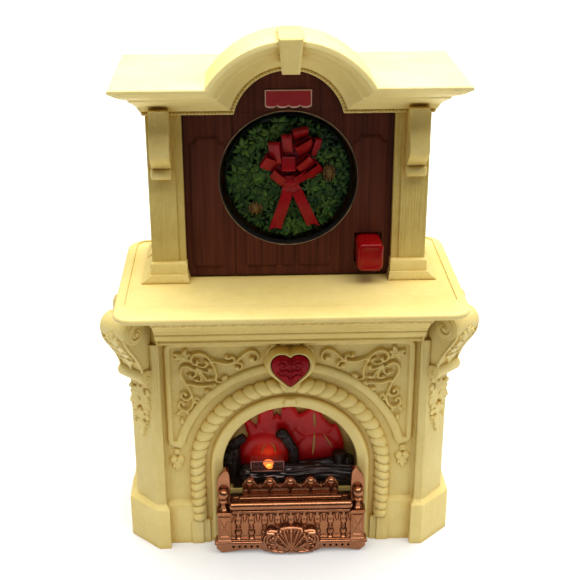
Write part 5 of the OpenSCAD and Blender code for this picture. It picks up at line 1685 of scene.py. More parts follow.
def ribbons():
    """Bow: a bunch of stiff ribbon loops, a knot and two swallow-tailed ends."""
    M = Mesh()

    def strip(path, side, w, th=0.42):
        """path: (n,3) points in F frame; side: (n,3) unit vectors across; closed band."""
        n = len(path)
        rings = []
        T = np.gradient(path, axis=0)
        T /= np.linalg.norm(T, axis=1)[:, None] + 1e-9
        for i in range(n):
            s = side[i]
            nn = np.cross(T[i], s)
            nn /= np.linalg.norm(nn) + 1e-9
            a, b = path[i] - s * w / 2, path[i] + s * w / 2
            rings.append([tuple(a - nn * th / 2), tuple(b - nn * th / 2), tuple(b + nn * th / 2), tuple(a + nn * th / 2)])
        V, F = loft(rings)
        M.put(V, out_normals(V, F))

    def loop(x, z, ang, L, w, hgt, y):
        """Loop from (x, z) outward along ang, bulging to the viewer and coming back underneath."""
        ca, sa = math.cos(ang), math.sin(ang)
        n = 17
        pts, sd = [], []
        for i in range(n):
            t = i / (n - 1)
            a = -0.35 * pi + 1.7 * pi * t
            d = L * (0.5 - 0.5 * math.cos(2 * pi * min(max(t, 0), 1)) ) if False else L * math.sin(pi * min(t * 1.0, 1.0)) ** 0.55
            yy = y - hgt * math.cos(pi * t) * 0.9 * (0.35 + 0.65 * math.sin(pi * t) ** 0.5) - hgt * 0.15
            pts.append((x + ca * d, yy, z + sa * d))
            sd.append((-sa, 0.0, ca))
        strip(np.array(pts), np.array(sd), w)

    def boxloop(cx, cz, ang, L, w, tau, sig, y, hgt=2.4):
        """Ribbon bent into a flat-topped loop: a closed band, seen from its outside."""
        e = np.array((math.cos(ang), 0.0, math.sin(ang)))
        s0 = np.array((-math.sin(ang), 0.0, math.cos(ang)))
        nv = np.array((0.0, -1.0, 0.0))
        s1 = s0 * math.cos(tau) + nv * math.sin(tau)
        n1 = nv * math.cos(tau) - s0 * math.sin(tau)
        e1 = e * math.cos(sig) + n1 * math.sin(sig)
        n2 = n1 * math.cos(sig) - e * math.sin(sig)
        c = np.array((cx, y, WZ + cz))
        m = 30
        rings = []
        th = 0.36
        for i in range(m + 1):
            a = 2 * pi * i / m
            ca, sa = math.cos(a), math.sin(a)
            k = 2.0 / 5.0
            ox, oy = math.copysign(abs(ca) ** k, ca), math.copysign(abs(sa) ** k, sa)
            r = []
            for q, tt in ((-1, 0), (1, 0), (1, th), (-1, th)):
                p = c + e1 * ox * (L / 2 - tt) + n2 * oy * (hgt / 2 - tt) + s1 * q * w / 2
                r.append(tuple(p))
            rings.append(r)
        V, F = loft(rings, caps=False)
        M.put(V, out_normals(V, F))

    # gathered ribbon behind the loops
    for cx, cz, rx, rz in ((-3.4, 7.6, 5.2, 6.6), (2.6, 12.6, 5.0, 5.6), (5.6, 6.4, 5.6, 5.2), (0.4, 3.0, 6.0, 4.0)):
        V, F = ballm((0.0, 0.0, 0.0), 1.0, 20, (1, 1, 1))
        M.put(np.asarray(V) * np.array((rx, 0.9, rz)) + np.array((cx, 17.3, WZ + cz)), F)
    D = math.radians
    for cx, cz, a, L, w, ta, si, y in (
            (4.6, 17.6, 100, 4.6, 5.4, 10, 34, 16.4), (-0.2, 13.8, 92, 7.0, 3.5, -14, 16, 16.0), (-4.7, 10.2, 94, 8.2, 4.2, -30, 8, 16.1), (-6.9, 5.8, 150, 6.4, 4.6, -18, 20, 16.6),
            (6.3, 12.6, 24, 6.8, 5.0, 34, -10, 15.9), (10.3, 12.2, 78, 6.8, 3.0, 38, 8, 16.9), (0.0, 5.8, 88, 5.4, 4.7, 4, -22, 15.6), (6.4, 5.6, 36, 6.6, 4.6, 30, -6, 15.7),
            (9.4, 2.6, 38, 7.0, 4.4, 42, 4, 16.5), (-3.6, 0.4, 150, 6.0, 3.8, -30, -14, 16.2), (4.6, 0.6, 20, 5.6, 3.8, 34, -14, 16.0)):
        boxloop(cx, cz, D(a), L * 1.08, w * 1.12, D(ta), D(si), y - 0.1)
    # knot
    V, F = ballm((0.0, 0.0, 0.0), 1.0, 24, (1, 1, 1))
    V = np.asarray(V)
    V = np.sign(V) * np.abs(V) ** 0.72 * np.array((2.9, 1.2, 2.3)) + np.array((0.5, 15.8, WZ - 1.2))
    M.put(V, F)
    rings = []
    for z, x0, x1, y in ((-1.6, -1.4, 3.4, 15.5), (-3.2, -2.2, 4.4, 15.7), (-5.2, -2.6, 5.6, 16.0), (-7.2, -2.9, 6.2, 16.3)):
        xs = np.linspace(x0, x1, 9)
        fr = [(float(q), y - 0.35 * abs(math.sin(2.2 * pi * (q - x0) / (x1 - x0))), WZ + z) for q in xs]
        rings.append(fr + [(q, yy + 0.7, zz) for q, yy, zz in fr[::-1]])
    V, F = loft(rings)
    M.put(V, out_normals(V, F))

    def tail(p0, p1, w0, w1, y):
        n = 14
        p0, p1 = np.array(p0, float), np.array(p1, float)
        d = p1 - p0
        L = np.linalg.norm(d)
        d /= L
        s = np.array((-d[1], d[0]))
        rings = []
        for i in range(n + 1):
            t = i / n
            c = p0 + d * L * t
            w = w0 + (w1 - w0) * t
            yy = y - 0.55 * math.sin(pi * t * 1.5 + 0.3)
            tip = 0.0
            r = []
            for q, dy in ((-1, 0.05), (-0.5, -0.12), (0, -0.2), (0.5, -0.12), (1, 0.05)):
                ex = 0.0
                if i == n:
                    ex = -1.35 * (1 + (q if p1[0] < p0[0] else -q)) + (0.8 if abs(q + (1 if p1[0] < p0[0] else -1)) < 0.1 else 0.0)
                pc = c + s * q * w / 2 + d * ex
                r.append((pc[0], yy + dy, WZ + pc[1]))
            rr = r + [(x, yv + 0.42, z) for x, yv, z in r[::-1]]
            rings.append(rr)
        V, F = loft(rings)
        M.put(V, out_normals(V, F))

    tail((-0.2, -5.4), (-5.4, -21.8), 4.2, 4.7, 16.0)
    tail((3.4, -5.4), (10.0, -20.4), 4.2, 4.5, 15.9)
    return M.add("ribbon_bow_loops", RIBBON, body="picture", slot="ribbon_red", bevel=0.12, seg=2)


rb = ribbons()
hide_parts("ribbon_bow")


def cones():
    M = Mesh()
    rs = np.random.default_rng(5)
    for cx, cz, r0, kz in ((-12.9, 146.0, 2.5, 0.95), (15.9, 160.2, 2.15, 1.5)):
        V, F = ballm((0, 0, 0), 1.0, 20, (1, 1, 1))
        M.put(np.asarray(V) * np.array((r0 * 0.86, r0 * 0.8, r0 * 0.86 * kz)) + np.array((cx, 17.0, cz)), F)
        for lay in range(6):
            q = lay / 6
            k = 13 - 2 * lay
            for i in range(k):
                a = 2 * pi * (i + 0.5 * (lay % 2)) / k
                r = r0 * math.cos(q * 1.35)
                M.put(*ballm((cx + r * math.cos(a), 17.0 - r0 * 0.82 * math.sin(q * 1.45), cz + kz * r * math.sin(a)), 0.46 - 0.02 * lay, 8))
    return M.add("pine_cone_scales", CONE, body="picture", slot="cone_brown", sharp=0)


pc = cones()
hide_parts("pine_cones")

# ---------------------------------------------------------------- firebox
def liner():
    """Firebox lining: arched tunnel with a back wall and a hearth shelf."""
    M = Mesh()
    prof = [(30.7, 4.2), (29.3, 4.2), (29.2, 5.0), (29.2, 16.6), (27.8, 17.6), (27.8, 18.4), (30.7, 18.4)]
    M.put(*arch_sweep(prof, 2.1, n=64))
    pts = [(-29.4, 2.1), (29.4, 2.1), (29.4, ZC)] + [(29.4 * math.cos(a), ZC + 29.4 * math.sin(a)) for a in np.linspace(0, pi, 48)[1:-1]] + [(-29.4, ZC)]
    M.put(*prism(pts, 17.0, 18.4, "y"))
    M.put(*boxm(-29.3, 29.3, 4.2, 17.0, 22.2, 23.9))
    M.put(*boxm(-29.3, 29.3, 4.2, 17.0, 2.1, 3.7))
    return M


ln = liner().add("firebox_lining", CREAM, slot="liner_plastic", sharp=40)
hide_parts("firebox_liner")


def flames():
    """Two bulbs of flame that run together into pointed tongues, moulded in one thin sheet."""
    res = 0.22
    fd = Field(-26.5, 26.5, 25.5, 66.0, res)
    U, V = fd.U, fd.V
    out = [(-21.4, 28.4), (-21.6, 31.4), (-21.4, 35.5), (-20.6, 38.9), (-19.0, 41.1), (-17.5, 42.8), (-17.2, 44.3), (-18.1, 46.3), (-18.6, 48.8), (-19.1, 50.8), (-18.2, 54.2), (-16.9, 51.7), (-15.7, 50.2), (-14.0, 48.2), (-13.1, 50.6), (-13.1, 55.0), (-11.3, 57.9), (-6.7, 56.8), (-6.6, 52.9), (-5.6, 53.9), (-5.0, 54.4), (-4.2, 53.4), (-3.4, 52.7), (-2.9, 56.7), (-0.3, 59.6), (2.9, 56.6), (3.5, 55.1), (4.4, 53.9), (6.1, 54.6), (7.8, 55.8), (10.3, 58.4), (13.7, 54.9), (14.6, 52.5), (15.7, 51.0), (17.4, 49.0), (18.7, 48.0), (20.2, 48.7), (20.9, 47.4), (22.4, 43.9), (23.4, 40.4), (23.7, 37.4), (22.2, 33.4), (20.6, 26.9)]
    out = [tuple(p) for p in out]
    ins = inside(out, U, V)
    Q, d = near(out, np.stack([U.ravel(), V.ravel()], axis=1))
    d = d.reshape(U.shape)
    edge = np.sqrt(np.clip(1 - (1 - np.clip(d / 1.6, 0, 1)) ** 2, 0, 1)) * 0.9
    H = edge
    for cx, cz, r, h in ((-10.7, 34.0, 11.2, 1.7), (12.0, 35.0, 9.6, 1.2), (-4.0, 52.0, 8.6, 0.5), (10.8, 51.5, 9.4, 0.5)):
        H = H + h * np.clip(1 - ((U - cx) ** 2 + (V - cz) ** 2) / (r * r), 0, 1) ** 0.5
    fd.H = gblur(H, 0.25 / res)
    V_, F_ = sheet_mesh(fd, on_front(15.6), ins | (d < res * 0.8), [out], back=0.2)
    fl = add("flame_sheet", V_, F_, FLAME, slot="flame_red", sharp=60)
    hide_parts("flame_panel")
    # pale cut-out tongues between the flames, on the lining behind, and the drawn lines in the bulbs
    T = Mesh()
    for P, w in (([(10.6, 55.0), (10.9, 51.6), (11.0, 48.1)], 0.66), ([(11.0, 45.2), (10.7, 40.2), (10.2, 34.7)], 0.55), ([(15.0, 44.4), (16.7, 41.6), (18.8, 37.9)], 0.36), ([(-10.1, 40.7), (-11.2, 38.2), (-11.9, 35.7)], 0.30), ([(-7.6, 41.0), (-6.1, 38.7), (-5.8, 35.9)], 0.42)):
        Pc = crom([(x, 0.0, z) for x, z in P], 0.3)
        hh = np.interp(np.arange(len(Pc)), [0, len(Pc) - 1], [0, 1])
        zz = []
        for (x, _, z) in Pc:
            i = int(round((x - fd.u[0]) / (fd.u[1] - fd.u[0])))
            j = int(round((z - fd.v[0]) / (fd.v[1] - fd.v[0])))
            zz.append((x, 15.6 - fd.H[i, j] - 0.02, z))
        T.put(*tube(np.array(zz), lambda t, w=w: w * (0.35 + 0.65 * math.sin(pi * min(max(t, 0.03), 0.97)) ** 0.7), 8, 0.3, smooth=False))
    T.add("flame_drawn_lines", GOLD, slot="flame_red", sharp=0)
    return fd


FL = flames()


def tongues():
    """Tan spikes where the flame sheet is cut through to the moulded tips behind it."""
    M = Mesh()
    for P in ([(-16.7, 51.5), (-13.2, 54.1), (-13.0, 50.2), (-13.9, 47.3), (-15.7, 49.3)], [(-6.7, 56.9), (-2.8, 57.1), (-3.2, 52.0), (-4.3, 52.9), (-5.0, 53.9), (-5.7, 53.0), (-6.7, 52.1)]):
        M.put(*prism(P, 15.9, 16.9, "y"))
    M.add("flame_tip_spikes", SPIKE, slot="flame_red", bevel=0.2, seg=2)


tongues()


def logs():
    """Charred logs: one long log in front with ridged bark, stubs and knots behind."""
    def log(M, p0, p1, r0, r1, seed, n=56, m=60, amp=0.42, knots=()):
        p0, p1 = np.array(p0, float), np.array(p1, float)
        d = p1 - p0
        L = np.linalg.norm(d)
        d /= L
        u = np.cross(d, (0, 0, 1.0)) if abs(d[2]) < 0.9 else np.cross(d, (1.0, 0, 0))
        u /= np.linalg.norm(u)
        w = np.cross(d, u)
        A = np.linspace(0, 2 * pi, n, endpoint=False)
        rings = []
        for i in range(m + 1):
            t = i / m
            s = t * L
            e = 1.0
            if t < 0.04:
                e = 0.80 + 0.20 * math.sqrt(t / 0.04)
            if t > 0.96:
                e = 0.80 + 0.20 * math.sqrt((1 - t) / 0.04)
            r = (r0 + (r1 - r0) * t) * e
            R = r + amp * fbm(np.cos(A) * r * 1.1, np.sin(A) * r * 1.1, np.full(n, s * 0.16), seed, 4, 1.2) + 0.16 * np.sin(A * 13 + 2.4 * math.sin(s * 0.22) + seed)
            for (ks, ka, kr, kh) in knots:
                dd = ((s - ks) ** 2 + (np.minimum(np.abs(A - ka), 2 * pi - np.abs(A - ka)) * r) ** 2) / kr ** 2
                R = R + kh * np.clip(1 - dd, 0, 1)
            c = p0 + d * s
            rings.append([tuple(c + R[j] * (math.cos(A[j]) * u + math.sin(A[j]) * w)) for j in range(n)])
        V, F = loft(rings)
        M.put(V, out_normals(V, F))

    M = Mesh()
    log(M, (-20.6, 9.0, 28.6), (27.8, 8.6, 28.9), 4.2, 4.3, 1, 72, 150, 0.40, knots=((9, 4.2, 2.2, 0.7), (33, 4.6, 2.0, 0.6)))
    log(M, (-21.5, 11.2, 27.5), (22.0, 11.6, 31.2), 2.9, 3.2, 2, 40, 90, 0.35)
    # stubs standing behind
    log(M, (-24.0, 10.9, 25.0), (-23.7, 11.0, 41.0), 3.1, 2.9, 3, 40, 50, 0.40)
    log(M, (-26.2, 10.4, 25.0), (-26.3, 10.6, 39.0), 2.4, 2.3, 9, 36, 30, 0.30)
    log(M, (-24.6, 11.0, 41.2), (-18.9, 10.9, 45.9), 2.0, 1.6, 4, 36, 24, 0.30)
    log(M, (2.0, 11.4, 25.0), (1.9, 11.3, 39.8), 2.1, 2.0, 5, 36, 48, 0.24)
    log(M, (1.6, 11.3, 38.8), (-1.9, 11.0, 45.9), 2.1, 2.3, 6, 36, 24, 0.26)
    V, F = ballm((0, 0, 0), 1.0, 24, (1, 1, 1))
    M.put(np.asarray(V) * np.array((2.9, 2.2, 2.5)) + np.array((-3.0, 11.0, 46.7)), F)
    log(M, (21.4, 11.2, 25.0), (21.6, 11.2, 37.6), 3.2, 3.0, 7, 36, 36, 0.34)
    log(M, (25.0, 10.6, 25.0), (25.2, 10.8, 35.6), 2.6, 2.4, 8, 36, 30, 0.34)
    log(M, (18.6, 12.4, 26.0), (18.8, 12.4, 32.5), 2.2, 1.9, 10, 30, 24, 0.25)
    M.put(*boxm(-24.0, 26.8, 5.4, 13.2, 24.0, 27.6))
    # lamp housing frame
    for a in ((-16.9, -15.9, 31.2, 33.2), (-3.7, -2.7, 31.2, 33.2)):
        M.put(*boxm(a[0], a[1], 5.3, 10.5, a[2], a[3]))
    M.put(*boxm(-16.9, -2.7, 5.3, 10.5, 30.6, 32.3))
    ob = M.add("charred_logs", BARK, slot="log_brown", sharp=60)
    # painted highlight: thin pale shiny streaks on the bark ridges below the lamp window stand in for glints
    W = Mesh()
    rs = np.random.default_rng(12)
    for i in range(34):
        a = rs.uniform(0.60, 1.45)
        x0 = rs.uniform(-19.0, -1.5)
        L = rs.uniform(1.0, 5.5)
        x1 = min(x0 + L, 0.8)
        pts = []
        for t in np.linspace(0, 1, 7):
            aa = a + 0.05 * math.sin(5 * t + i)
            r = 4.28 + 0.04 * rs.uniform(-1, 1)
            pts.append((x0 + (x1 - x0) * t, 9.0 - r * math.sin(aa), 28.62 + r * math.cos(aa)))
        W.put(*tube(np.array(pts), lambda t, w=rs.uniform(0.14, 0.26): w * (0.2 + 0.8 * math.sin(pi * min(max(t, 0.02), 0.98)) ** 0.6), 6, 0.4, smooth=False))
    W.add("log_painted_highlight_streaks", LOG_HIGHLIGHT_PAINT, slot="log_brown", sharp=0)
    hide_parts("log_set")


logs()


def lamp_parts():
    M = Mesh()
    M.put(*lathe([(0.8, 23.0), (2.2, 23.2), (2.3, 25.6), (1.9, 25.9), (1.95, 29.2), (1.95, 31.2), (1.85, 31.9), (1.55, 32.7), (1.0, 33.3), (0.4, 33.6), (0.01, 33.65)], 32, (-8.6, 8.2, 0)))
    lp = M.add("lamp_bulb", LAMP, slot="lamp_glass", sharp=40)
    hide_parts("lamp")
    M = Mesh()
    M.put(*boxm(-16.4, -2.6, 5.0, 5.4, 32.2, 37.1))
    M.put(*boxm(-16.4, -2.6, 5.0, 9.8, 36.7, 37.1))
    # pale tubes along the window edges: painted highlight of its lit edges
    E = Mesh()
    for a, b in (((-16.4, 4.95, 32.3), (-16.4, 4.95, 37.0)), ((-2.6, 4.95, 32.3), (-2.6, 4.95, 37.0)), ((-16.4, 4.95, 37.0), (-2.6, 4.95, 37.0)), ((-16.4, 4.95, 32.3), (-2.6, 4.95, 32.3))):
        E.put(*tube(np.array([a, b], float), 0.24, 8, 1.0, smooth=False))
    E.add("lamp_window_rim", PANE_EDGE, slot="clear_plastic", sharp=0)
    w = M.add("lamp_window_pane", WINDOW, slot="clear_plastic", bevel=0.25, seg=3)
    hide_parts("lamp_window")


lamp_parts()


# ---------------------------------------------------------------- grate
def grate():
    G = -8.2
    M = Mesh()
    # base: swept foot with a raised rail on top
    lo = [(-29.2, 0.15), (-24, 0.9), (-20, 1.5), (-13, 1.5), (-10.6, 0.2), (10.6, 0.2), (13, 1.5), (20, 1.5), (24, 0.9), (29.2, 0.15), (31.6, 2.2), (31.6, 4.9), (-31.6, 4.9), (-31.6, 2.2)]
    M.put(*prism(lo, -8.0, -4.3, "y"))
    for y0, z0, z1, hw in ((-9.1, 4.9, 6.0, 32.2), (-8.7, 5.9, 6.8, 31.8)):
        M.put(*boxm(-hw, hw, y0, -4.3, z0, z1))
    V, F = lathe([(0.4, -32.3), (0.8, -32.1), (0.85, -31.6), (0.85, 31.6), (0.8, 32.1), (0.4, 32.3)], 24, (0, -8.75, 5.5), "x")
    M.put(V, F)
    # sunk holes along the foot are dark caps, painted shade for the holes
    body = M.add("grate_foot", COPPER, slot="copper_plate", bevel=0.35, seg=3)
    D = Mesh()
    for s in (-1, 1):
        for i in range(5):
            D.put(*lathe([(0.01, 8.02), (0.36, 8.02), (0.50, 8.05), (0.54, 8.09), (0.46, 8.11), (0.34, 8.04), (0.01, 8.04)], 18, (s * (14.2 + i * 2.55), 0, 3.1), "y"))
    D.add("grate_foot_holes", HOLE, slot="copper_plate", sharp=0)

    # front plate with turned balusters between arched tops
    fd = Field(-26.0, 26.0, 6.4, 21.0, 0.13)
    U, V = fd.U, fd.V
    H = np.zeros_like(U)
    P = 5.55
    for i in range(-4, 5):
        cx = i * P
        prof = [(6.4, 1.5), (7.2, 1.5), (7.6, 0.9), (8.2, 0.85), (9.2, 1.35), (10.2, 1.5), (11.2, 1.15), (11.8, 0.75), (12.2, 1.15), (12.6, 1.2), (12.9, 0.8), (13.6, 0.95), (14.8, 1.45), (15.8, 1.35), (17.0, 0.95), (18.6, 0.75), (19.6, 0.9), (20.4, 1.3), (21, 1.3)]
        w = np.interp(V, [p[0] for p in prof], [p[1] for p in prof])
        d = np.abs(U - cx) / w
        H = np.maximum(H, 1.35 * w / 1.5 * np.clip(1 - d ** 2, 0, 1) ** 0.5 + np.where(d < 1, 0.15, 0))
    for i in range(-5, 5):
        cx = (i + 0.5) * P
        # arch between the balusters, and a drop hanging from the rail
        r = np.hypot(U - cx, np.maximum(V - 16.4, 0) * 0.95)
        H = np.maximum(H, 0.75 * np.exp(-((np.hypot(U - cx, (V - 17.2) * 0.9) - 1.75) / 0.28) ** 2) * (V > 16.6))
        H = np.maximum(H, 0.8 * np.clip(1 - ((U - cx) / 0.75) ** 2 - ((V - 17.4) / 2.6) ** 2, 0, 1) ** 0.5)
    H = np.maximum(H, 0.9 * (V < 7.2))
    H = np.maximum(H, 1.0 * (V > 20.2))
    fd.H = gblur(H, 0.10 / 0.13)
    V_, F_ = sheet_mesh(fd, on_front(-6.9), None, None, back=1.6)
    add("grate_baluster_plate", V_, F_, COPPER, slot="copper_plate", sharp=0)

    M = Mesh()

    def bar_x(y, z, ry, rz, x0, x1, n=24):
        """Rounded bar along X with half-round ends."""
        rings = []
        for x, k in ((x0, 0.35), (x0 + 0.25, 0.75), (x0 + 0.8, 1.0), (x1 - 0.8, 1.0), (x1 - 0.25, 0.75), (x1, 0.35)):
            rings.append([(x, y + ry * k * math.cos(a), z + rz * k * math.sin(a)) for a in np.linspace(0, 2 * pi, n, endpoint=False)])
        V, F = loft(rings)
        M.put(V, out_normals(V, F))

    # top tray: front bar, slot, rear bar, end blocks
    bar_x(-8.1, 23.7, 1.75, 1.8, -25.8, 25.8)
    bar_x(-8.1, 21.1, 1.3, 0.8, -25.0, 25.0)
    bar_x(-1.6, 23.5, 1.1, 0.9, -24.6, 24.6)
    M.put(*boxm(-25.2, 25.2, -7.2, 0.35, 19.9, 22.0))
    M.put(*boxm(-25.4, -21.6, -7.8, 0.35, 20.6, 23.4))
    M.put(*boxm(21.6, 25.4, -7.8, 0.35, 20.6, 23.4))
    M.put(*boxm(-25.2, 25.2, -1.9, 0.35, 20.6, 24.1))
    # raised lip round the slot
    lip = [(21.8, -6.4, 23.2), (21.8, -2.6, 23.6), (-21.8, -2.6, 23.6), (-21.8, -6.4, 23.2)]
    for a, b in zip(lip[:-1], lip[1:]):
        M.put(*tube(np.array([a, b]), 0.85, 16, 2.0, smooth=False))
    M.add("grate_tray", COPPER, slot="copper_plate", bevel=0.3, seg=3)

    # crest along the back of the tray
    top = []
    for x in np.linspace(-20.2, 20.2, 203):
        k = round(x / 8.6)
        k = max(-2, min(2, k))
        dx = abs(x - k * 8.6)
        h = 30.2 + 2.35 * math.sqrt(max(0, 1 - (dx / 2.35) ** 2)) if dx < 2.35 else 28.6 + 1.6 * math.cos(min((dx - 2.35) / 1.95, 1) * pi / 2) ** 2
        if dx >= 2.35:
            h = max(h, 28.8 + 0.9 * math.exp(-((dx - 4.3) / 0.55) ** 2))
        top.append((float(x), h))
    out = [(-20.2, 23.6)] + top + [(20.2, 23.6)]
    cf = Field(-20.6, 20.6, 23.4, 33.2, 0.14)
    Q, d = near(out, np.stack([cf.U.ravel(), cf.V.ravel()], axis=1))
    d = d.reshape(cf.U.shape)
    ins = inside(out, cf.U, cf.V)
    H = 0.45 * np.exp(-((d - 0.35) / 0.28) ** 2)
    for i in range(-2, 3):
        x = i * 8.6
        H = np.maximum(H, 1.15 * np.clip(1 - ((cf.U - x) ** 2 + (cf.V - 30.2) ** 2) / 1.62 ** 2, 0, 1) ** 0.5)
        tt = np.clip((29.2 - cf.V) / 3.6, 0, 1)
        H = np.maximum(H, 0.85 * np.clip(1 - ((cf.U - x) / (0.95 * (1 - 0.45 * tt))) ** 2, 0, 1) ** 0.5 * (cf.V < 29.4) * (cf.V > 25.2))
        if i < 2:
            H = np.maximum(H, 0.6 * np.clip(1 - ((cf.U - x - 4.3) ** 2 + (cf.V - 28.3) ** 2) / 0.62 ** 2, 0, 1) ** 0.5)
    H = np.maximum(H, 0.5 * np.exp(-((cf.V - 26.4) / 0.4) ** 2))
    cf.H = gblur(H, 0.10 / 0.14)
    V_, F_ = sheet_mesh(cf, on_front(-0.95), ins | (d < 0.11), [out], back=1.2)
    add("grate_crest", V_, F_, COPPER, slot="copper_plate", sharp=60)

    # corner posts
    M = Mesh()
    for s in (1, -1):
        x = s * 28.0
        lv = [(6.4, 3.1, 9.4), (7.0, 3.1, 9.4), (7.3, 2.75, 9.0), (8.0, 2.75, 9.0), (19.2, 2.75, 9.0), (19.5, 3.0, 9.3), (20.2, 3.2, 9.5), (20.7, 3.2, 9.5), (21.0, 2.7, 9.0)]
        rings = [[(x - hw, -3.4, z), (x - hw, -yf, z), (x + hw, -yf, z), (x + hw, -3.4, z)] for z, hw, yf in lv]
        V, F = loft(rings)
        M.put(V, out_normals(V, F))
        # neck, ball and slanted tip
        M.put(*lathe([(1.9, 20.9), (2.1, 21.4), (1.35, 22.2), (1.15, 23.6), (1.5, 24.6), (2.2, 25.2), (2.3, 25.7), (1.5, 26.2), (1.35, 26.6)], 32, (x, -6.3, 0)))
        M.put(*ballm((x, -6.3, 28.6), 2.5, 32))
        # leaf-shaped finial behind the ball: a rounded slab cut on the slant
        n = 28
        rings = []
        for y, g in ((-4.9, 0.5), (-4.6, 0.0), (-2.2, 0.0), (-1.9, 0.5)):
            ring = []
            outl = [(-2.75, 20.5), (2.75, 20.5), (2.75, 33.5), (2.5, 36.6), (2.0, 38.4), (1.2, 39.2), (0.2, 38.8), (-1.2, 37.0), (-2.4, 34.8), (-2.75, 33.0)]
            cx = sum(q[0] for q in outl) / len(outl)
            cz = sum(q[1] for q in outl) / len(outl)
            for ox, oz in outl:
                k = 1 - g * 0.12
                ring.append((x + s * -1 * ((cx + (ox - cx) * k)), y, cz + (oz - cz) * (1 - g * 0.05)))
            rings.append(ring)
        V, F = loft(rings)
        M.put(V, out_normals(V, F))
    M.add("grate_posts", COPPER, slot="copper_plate", bevel=0.35, seg=3)

    # sunk X panels on the posts
    for s in (1, -1):
        pf = Field(-2.3, 2.3, 8.4, 18.8, 0.12)
        cu, cv = 0.0, 13.6
        a = np.abs(pf.U) / 2.3
        b = np.abs(pf.V - cv) / 5.2
        pyr = np.maximum(a, b)
        H = 0.75 * (1 - np.minimum(pyr, 1)) * 1.0
        H = np.where(pyr > 0.86, 0.30, H)
        H -= 0.35 * np.exp(-((a - b) / 0.09) ** 2) * (pyr < 0.86)
        pf.H = gblur(H, 0.06 / 0.12)
        V_, F_ = sheet_mesh(pf, lambda u, v, h, s=s: np.stack([s * 28.0 + u, -8.95 - h, v], axis=1), None, None, back=0.4)
        add("grate_post_panel_" + ("right" if s > 0 else "left"), V_, F_, COPPER, slot="copper_plate", sharp=35)

    # shell ornament at the middle of the foot
    o = [(-7.6, 0.25), (7.6, 0.25), (9.8, 1.2), (11.8, 3.2), (12.6, 6.2), (12.0, 9.2), (10.4, 11.2), (8.2, 12.0), (6.2, 11.6), (4.6, 12.6), (2.4, 13.2), (0.0, 13.4), (-2.4, 13.2), (-4.6, 12.6), (-6.2, 11.6), (-8.2, 12.0), (-10.4, 11.2), (-12.0, 9.2), (-12.6, 6.2), (-11.8, 3.2), (-9.8, 1.2)]
    o = crom(o + [o[0]], 0.4)[:-1]
    o = [tuple(p) for p in o]
    sf = Field(-13.2, 13.2, -0.1, 14.2, 0.12)
    Q, d = near(o, np.stack([sf.U.ravel(), sf.V.ravel()], axis=1))
    d = d.reshape(sf.U.shape)
    ins = inside(o, sf.U, sf.V)
    dm = Field(-13.2, 13.2, -0.1, 14.2, 0.12)
    for s in (-1, 1):
        # big volutes
        dm.stroke([(s * 1.2, 1.6), (s * 4.0, 1.2), (s * 7.4, 1.8), (s * 10.2, 3.8), (s * 11.4, 6.6), (s * 10.6, 9.4), (s * 8.4, 10.4), (s * 6.6, 9.4), (s * 6.4, 7.6), (s * 7.6, 6.6), (s * 8.8, 7.2)], 0.62, 1.25, 0.8, 1.3, wm=0.78)
        dm.stroke([(s * 0.8, 1.8), (s * 3.6, 3.0), (s * 6.4, 4.8), (s * 8.4, 5.2)], 0.45, 1.0, 0.6, 1.1)
        dm.stroke([(s * 9.6, 3.0), (s * 8.4, 4.6), (s * 9.4, 6.0)], 0.4, 0.9)
        for a, L in ((14, 5.0), (34, 7.2), (54, 8.6), (73, 9.4)):
            r = math.radians(a)
            dm.stroke([(s * 0.6 * math.cos(r), 1.6 + 0.6 * math.sin(r)), (s * L * math.cos(r), 1.6 + L * math.sin(r))], 0.35, 0.8, 0.95, 1.15)
            dm.ball(s * (L + 0.5) * math.cos(r), 1.6 + (L + 0.5) * math.sin(r), 0.85, 1.55)
        dm.ball(s * 7.7, 8.2, 0.9, 1.6)
        dm.ball(s * 4.6, 11.2, 0.8, 1.4)
        dm.ball(s * 10.2, 10.6, 0.6, 1.2)
    dm.stroke([(0, 2.2), (0, 10.6)], 0.4, 0.9, 1.0, 1.2)
    dm.ball(0, 11.6, 0.95, 1.6)
    dm.ball(0, 1.9, 1.3, 1.7)
    dm.blur(0.08)
    crown = 0.9 * np.sqrt(np.clip(1 - (sf.U / 13.0) ** 2, 0, 1))
    rim = 0.7 * np.exp(-((d - 0.5) / 0.35) ** 2)
    sf.H = gblur(crown * np.clip(d / 1.0, 0, 1) ** 0.5 + np.maximum(dm.H, rim), 0.16 / sf.res)
    V_, F_ = sheet_mesh(sf, on_front(-8.4), ins | (d < 0.1), [o], back=1.8)
    sg_ = add("grate_shell_ornament", V_, F_, COPPER, slot="copper_plate", sharp=60)
    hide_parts("fire_grate")


grate()

# ---------------------------------------------------------------- CAD nodes that stay as they are
def dress(node, mat, slot=None):
    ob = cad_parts.get(node)
    if ob is None:
        return
    ob.data.materials.clear()
    ob.data.materials.append(mat)


for n_, m_ in (("lower_rear_shell", CREAM_G), ("upper_rear_cover", CREAM_G), ("lamp_holder", BLACK), ("circuit_board", PCB), ("speaker", SPK),
               ("batteries", BATT), ("battery_contacts", SPRING), ("battery_door", CREAM_F), ("door_screws", SCREW), ("case_screws", SCREW), ("cover_screws", SCREW),
               ("cage_screws", SCREW), ("shelf_screws", SCREW), ("idler_gear", GEARW), ("disc_pinion", GEARW),
               ("picture_disc", DARK), ("rear_picture", CARD), ("disc_cage", CAGE), ("lead_wires", WIRE)):
    dress(n_, m_)
DISC_VIS.add("disc_rim", DARK, body="picture", slot="disc_dark", sharp=40)

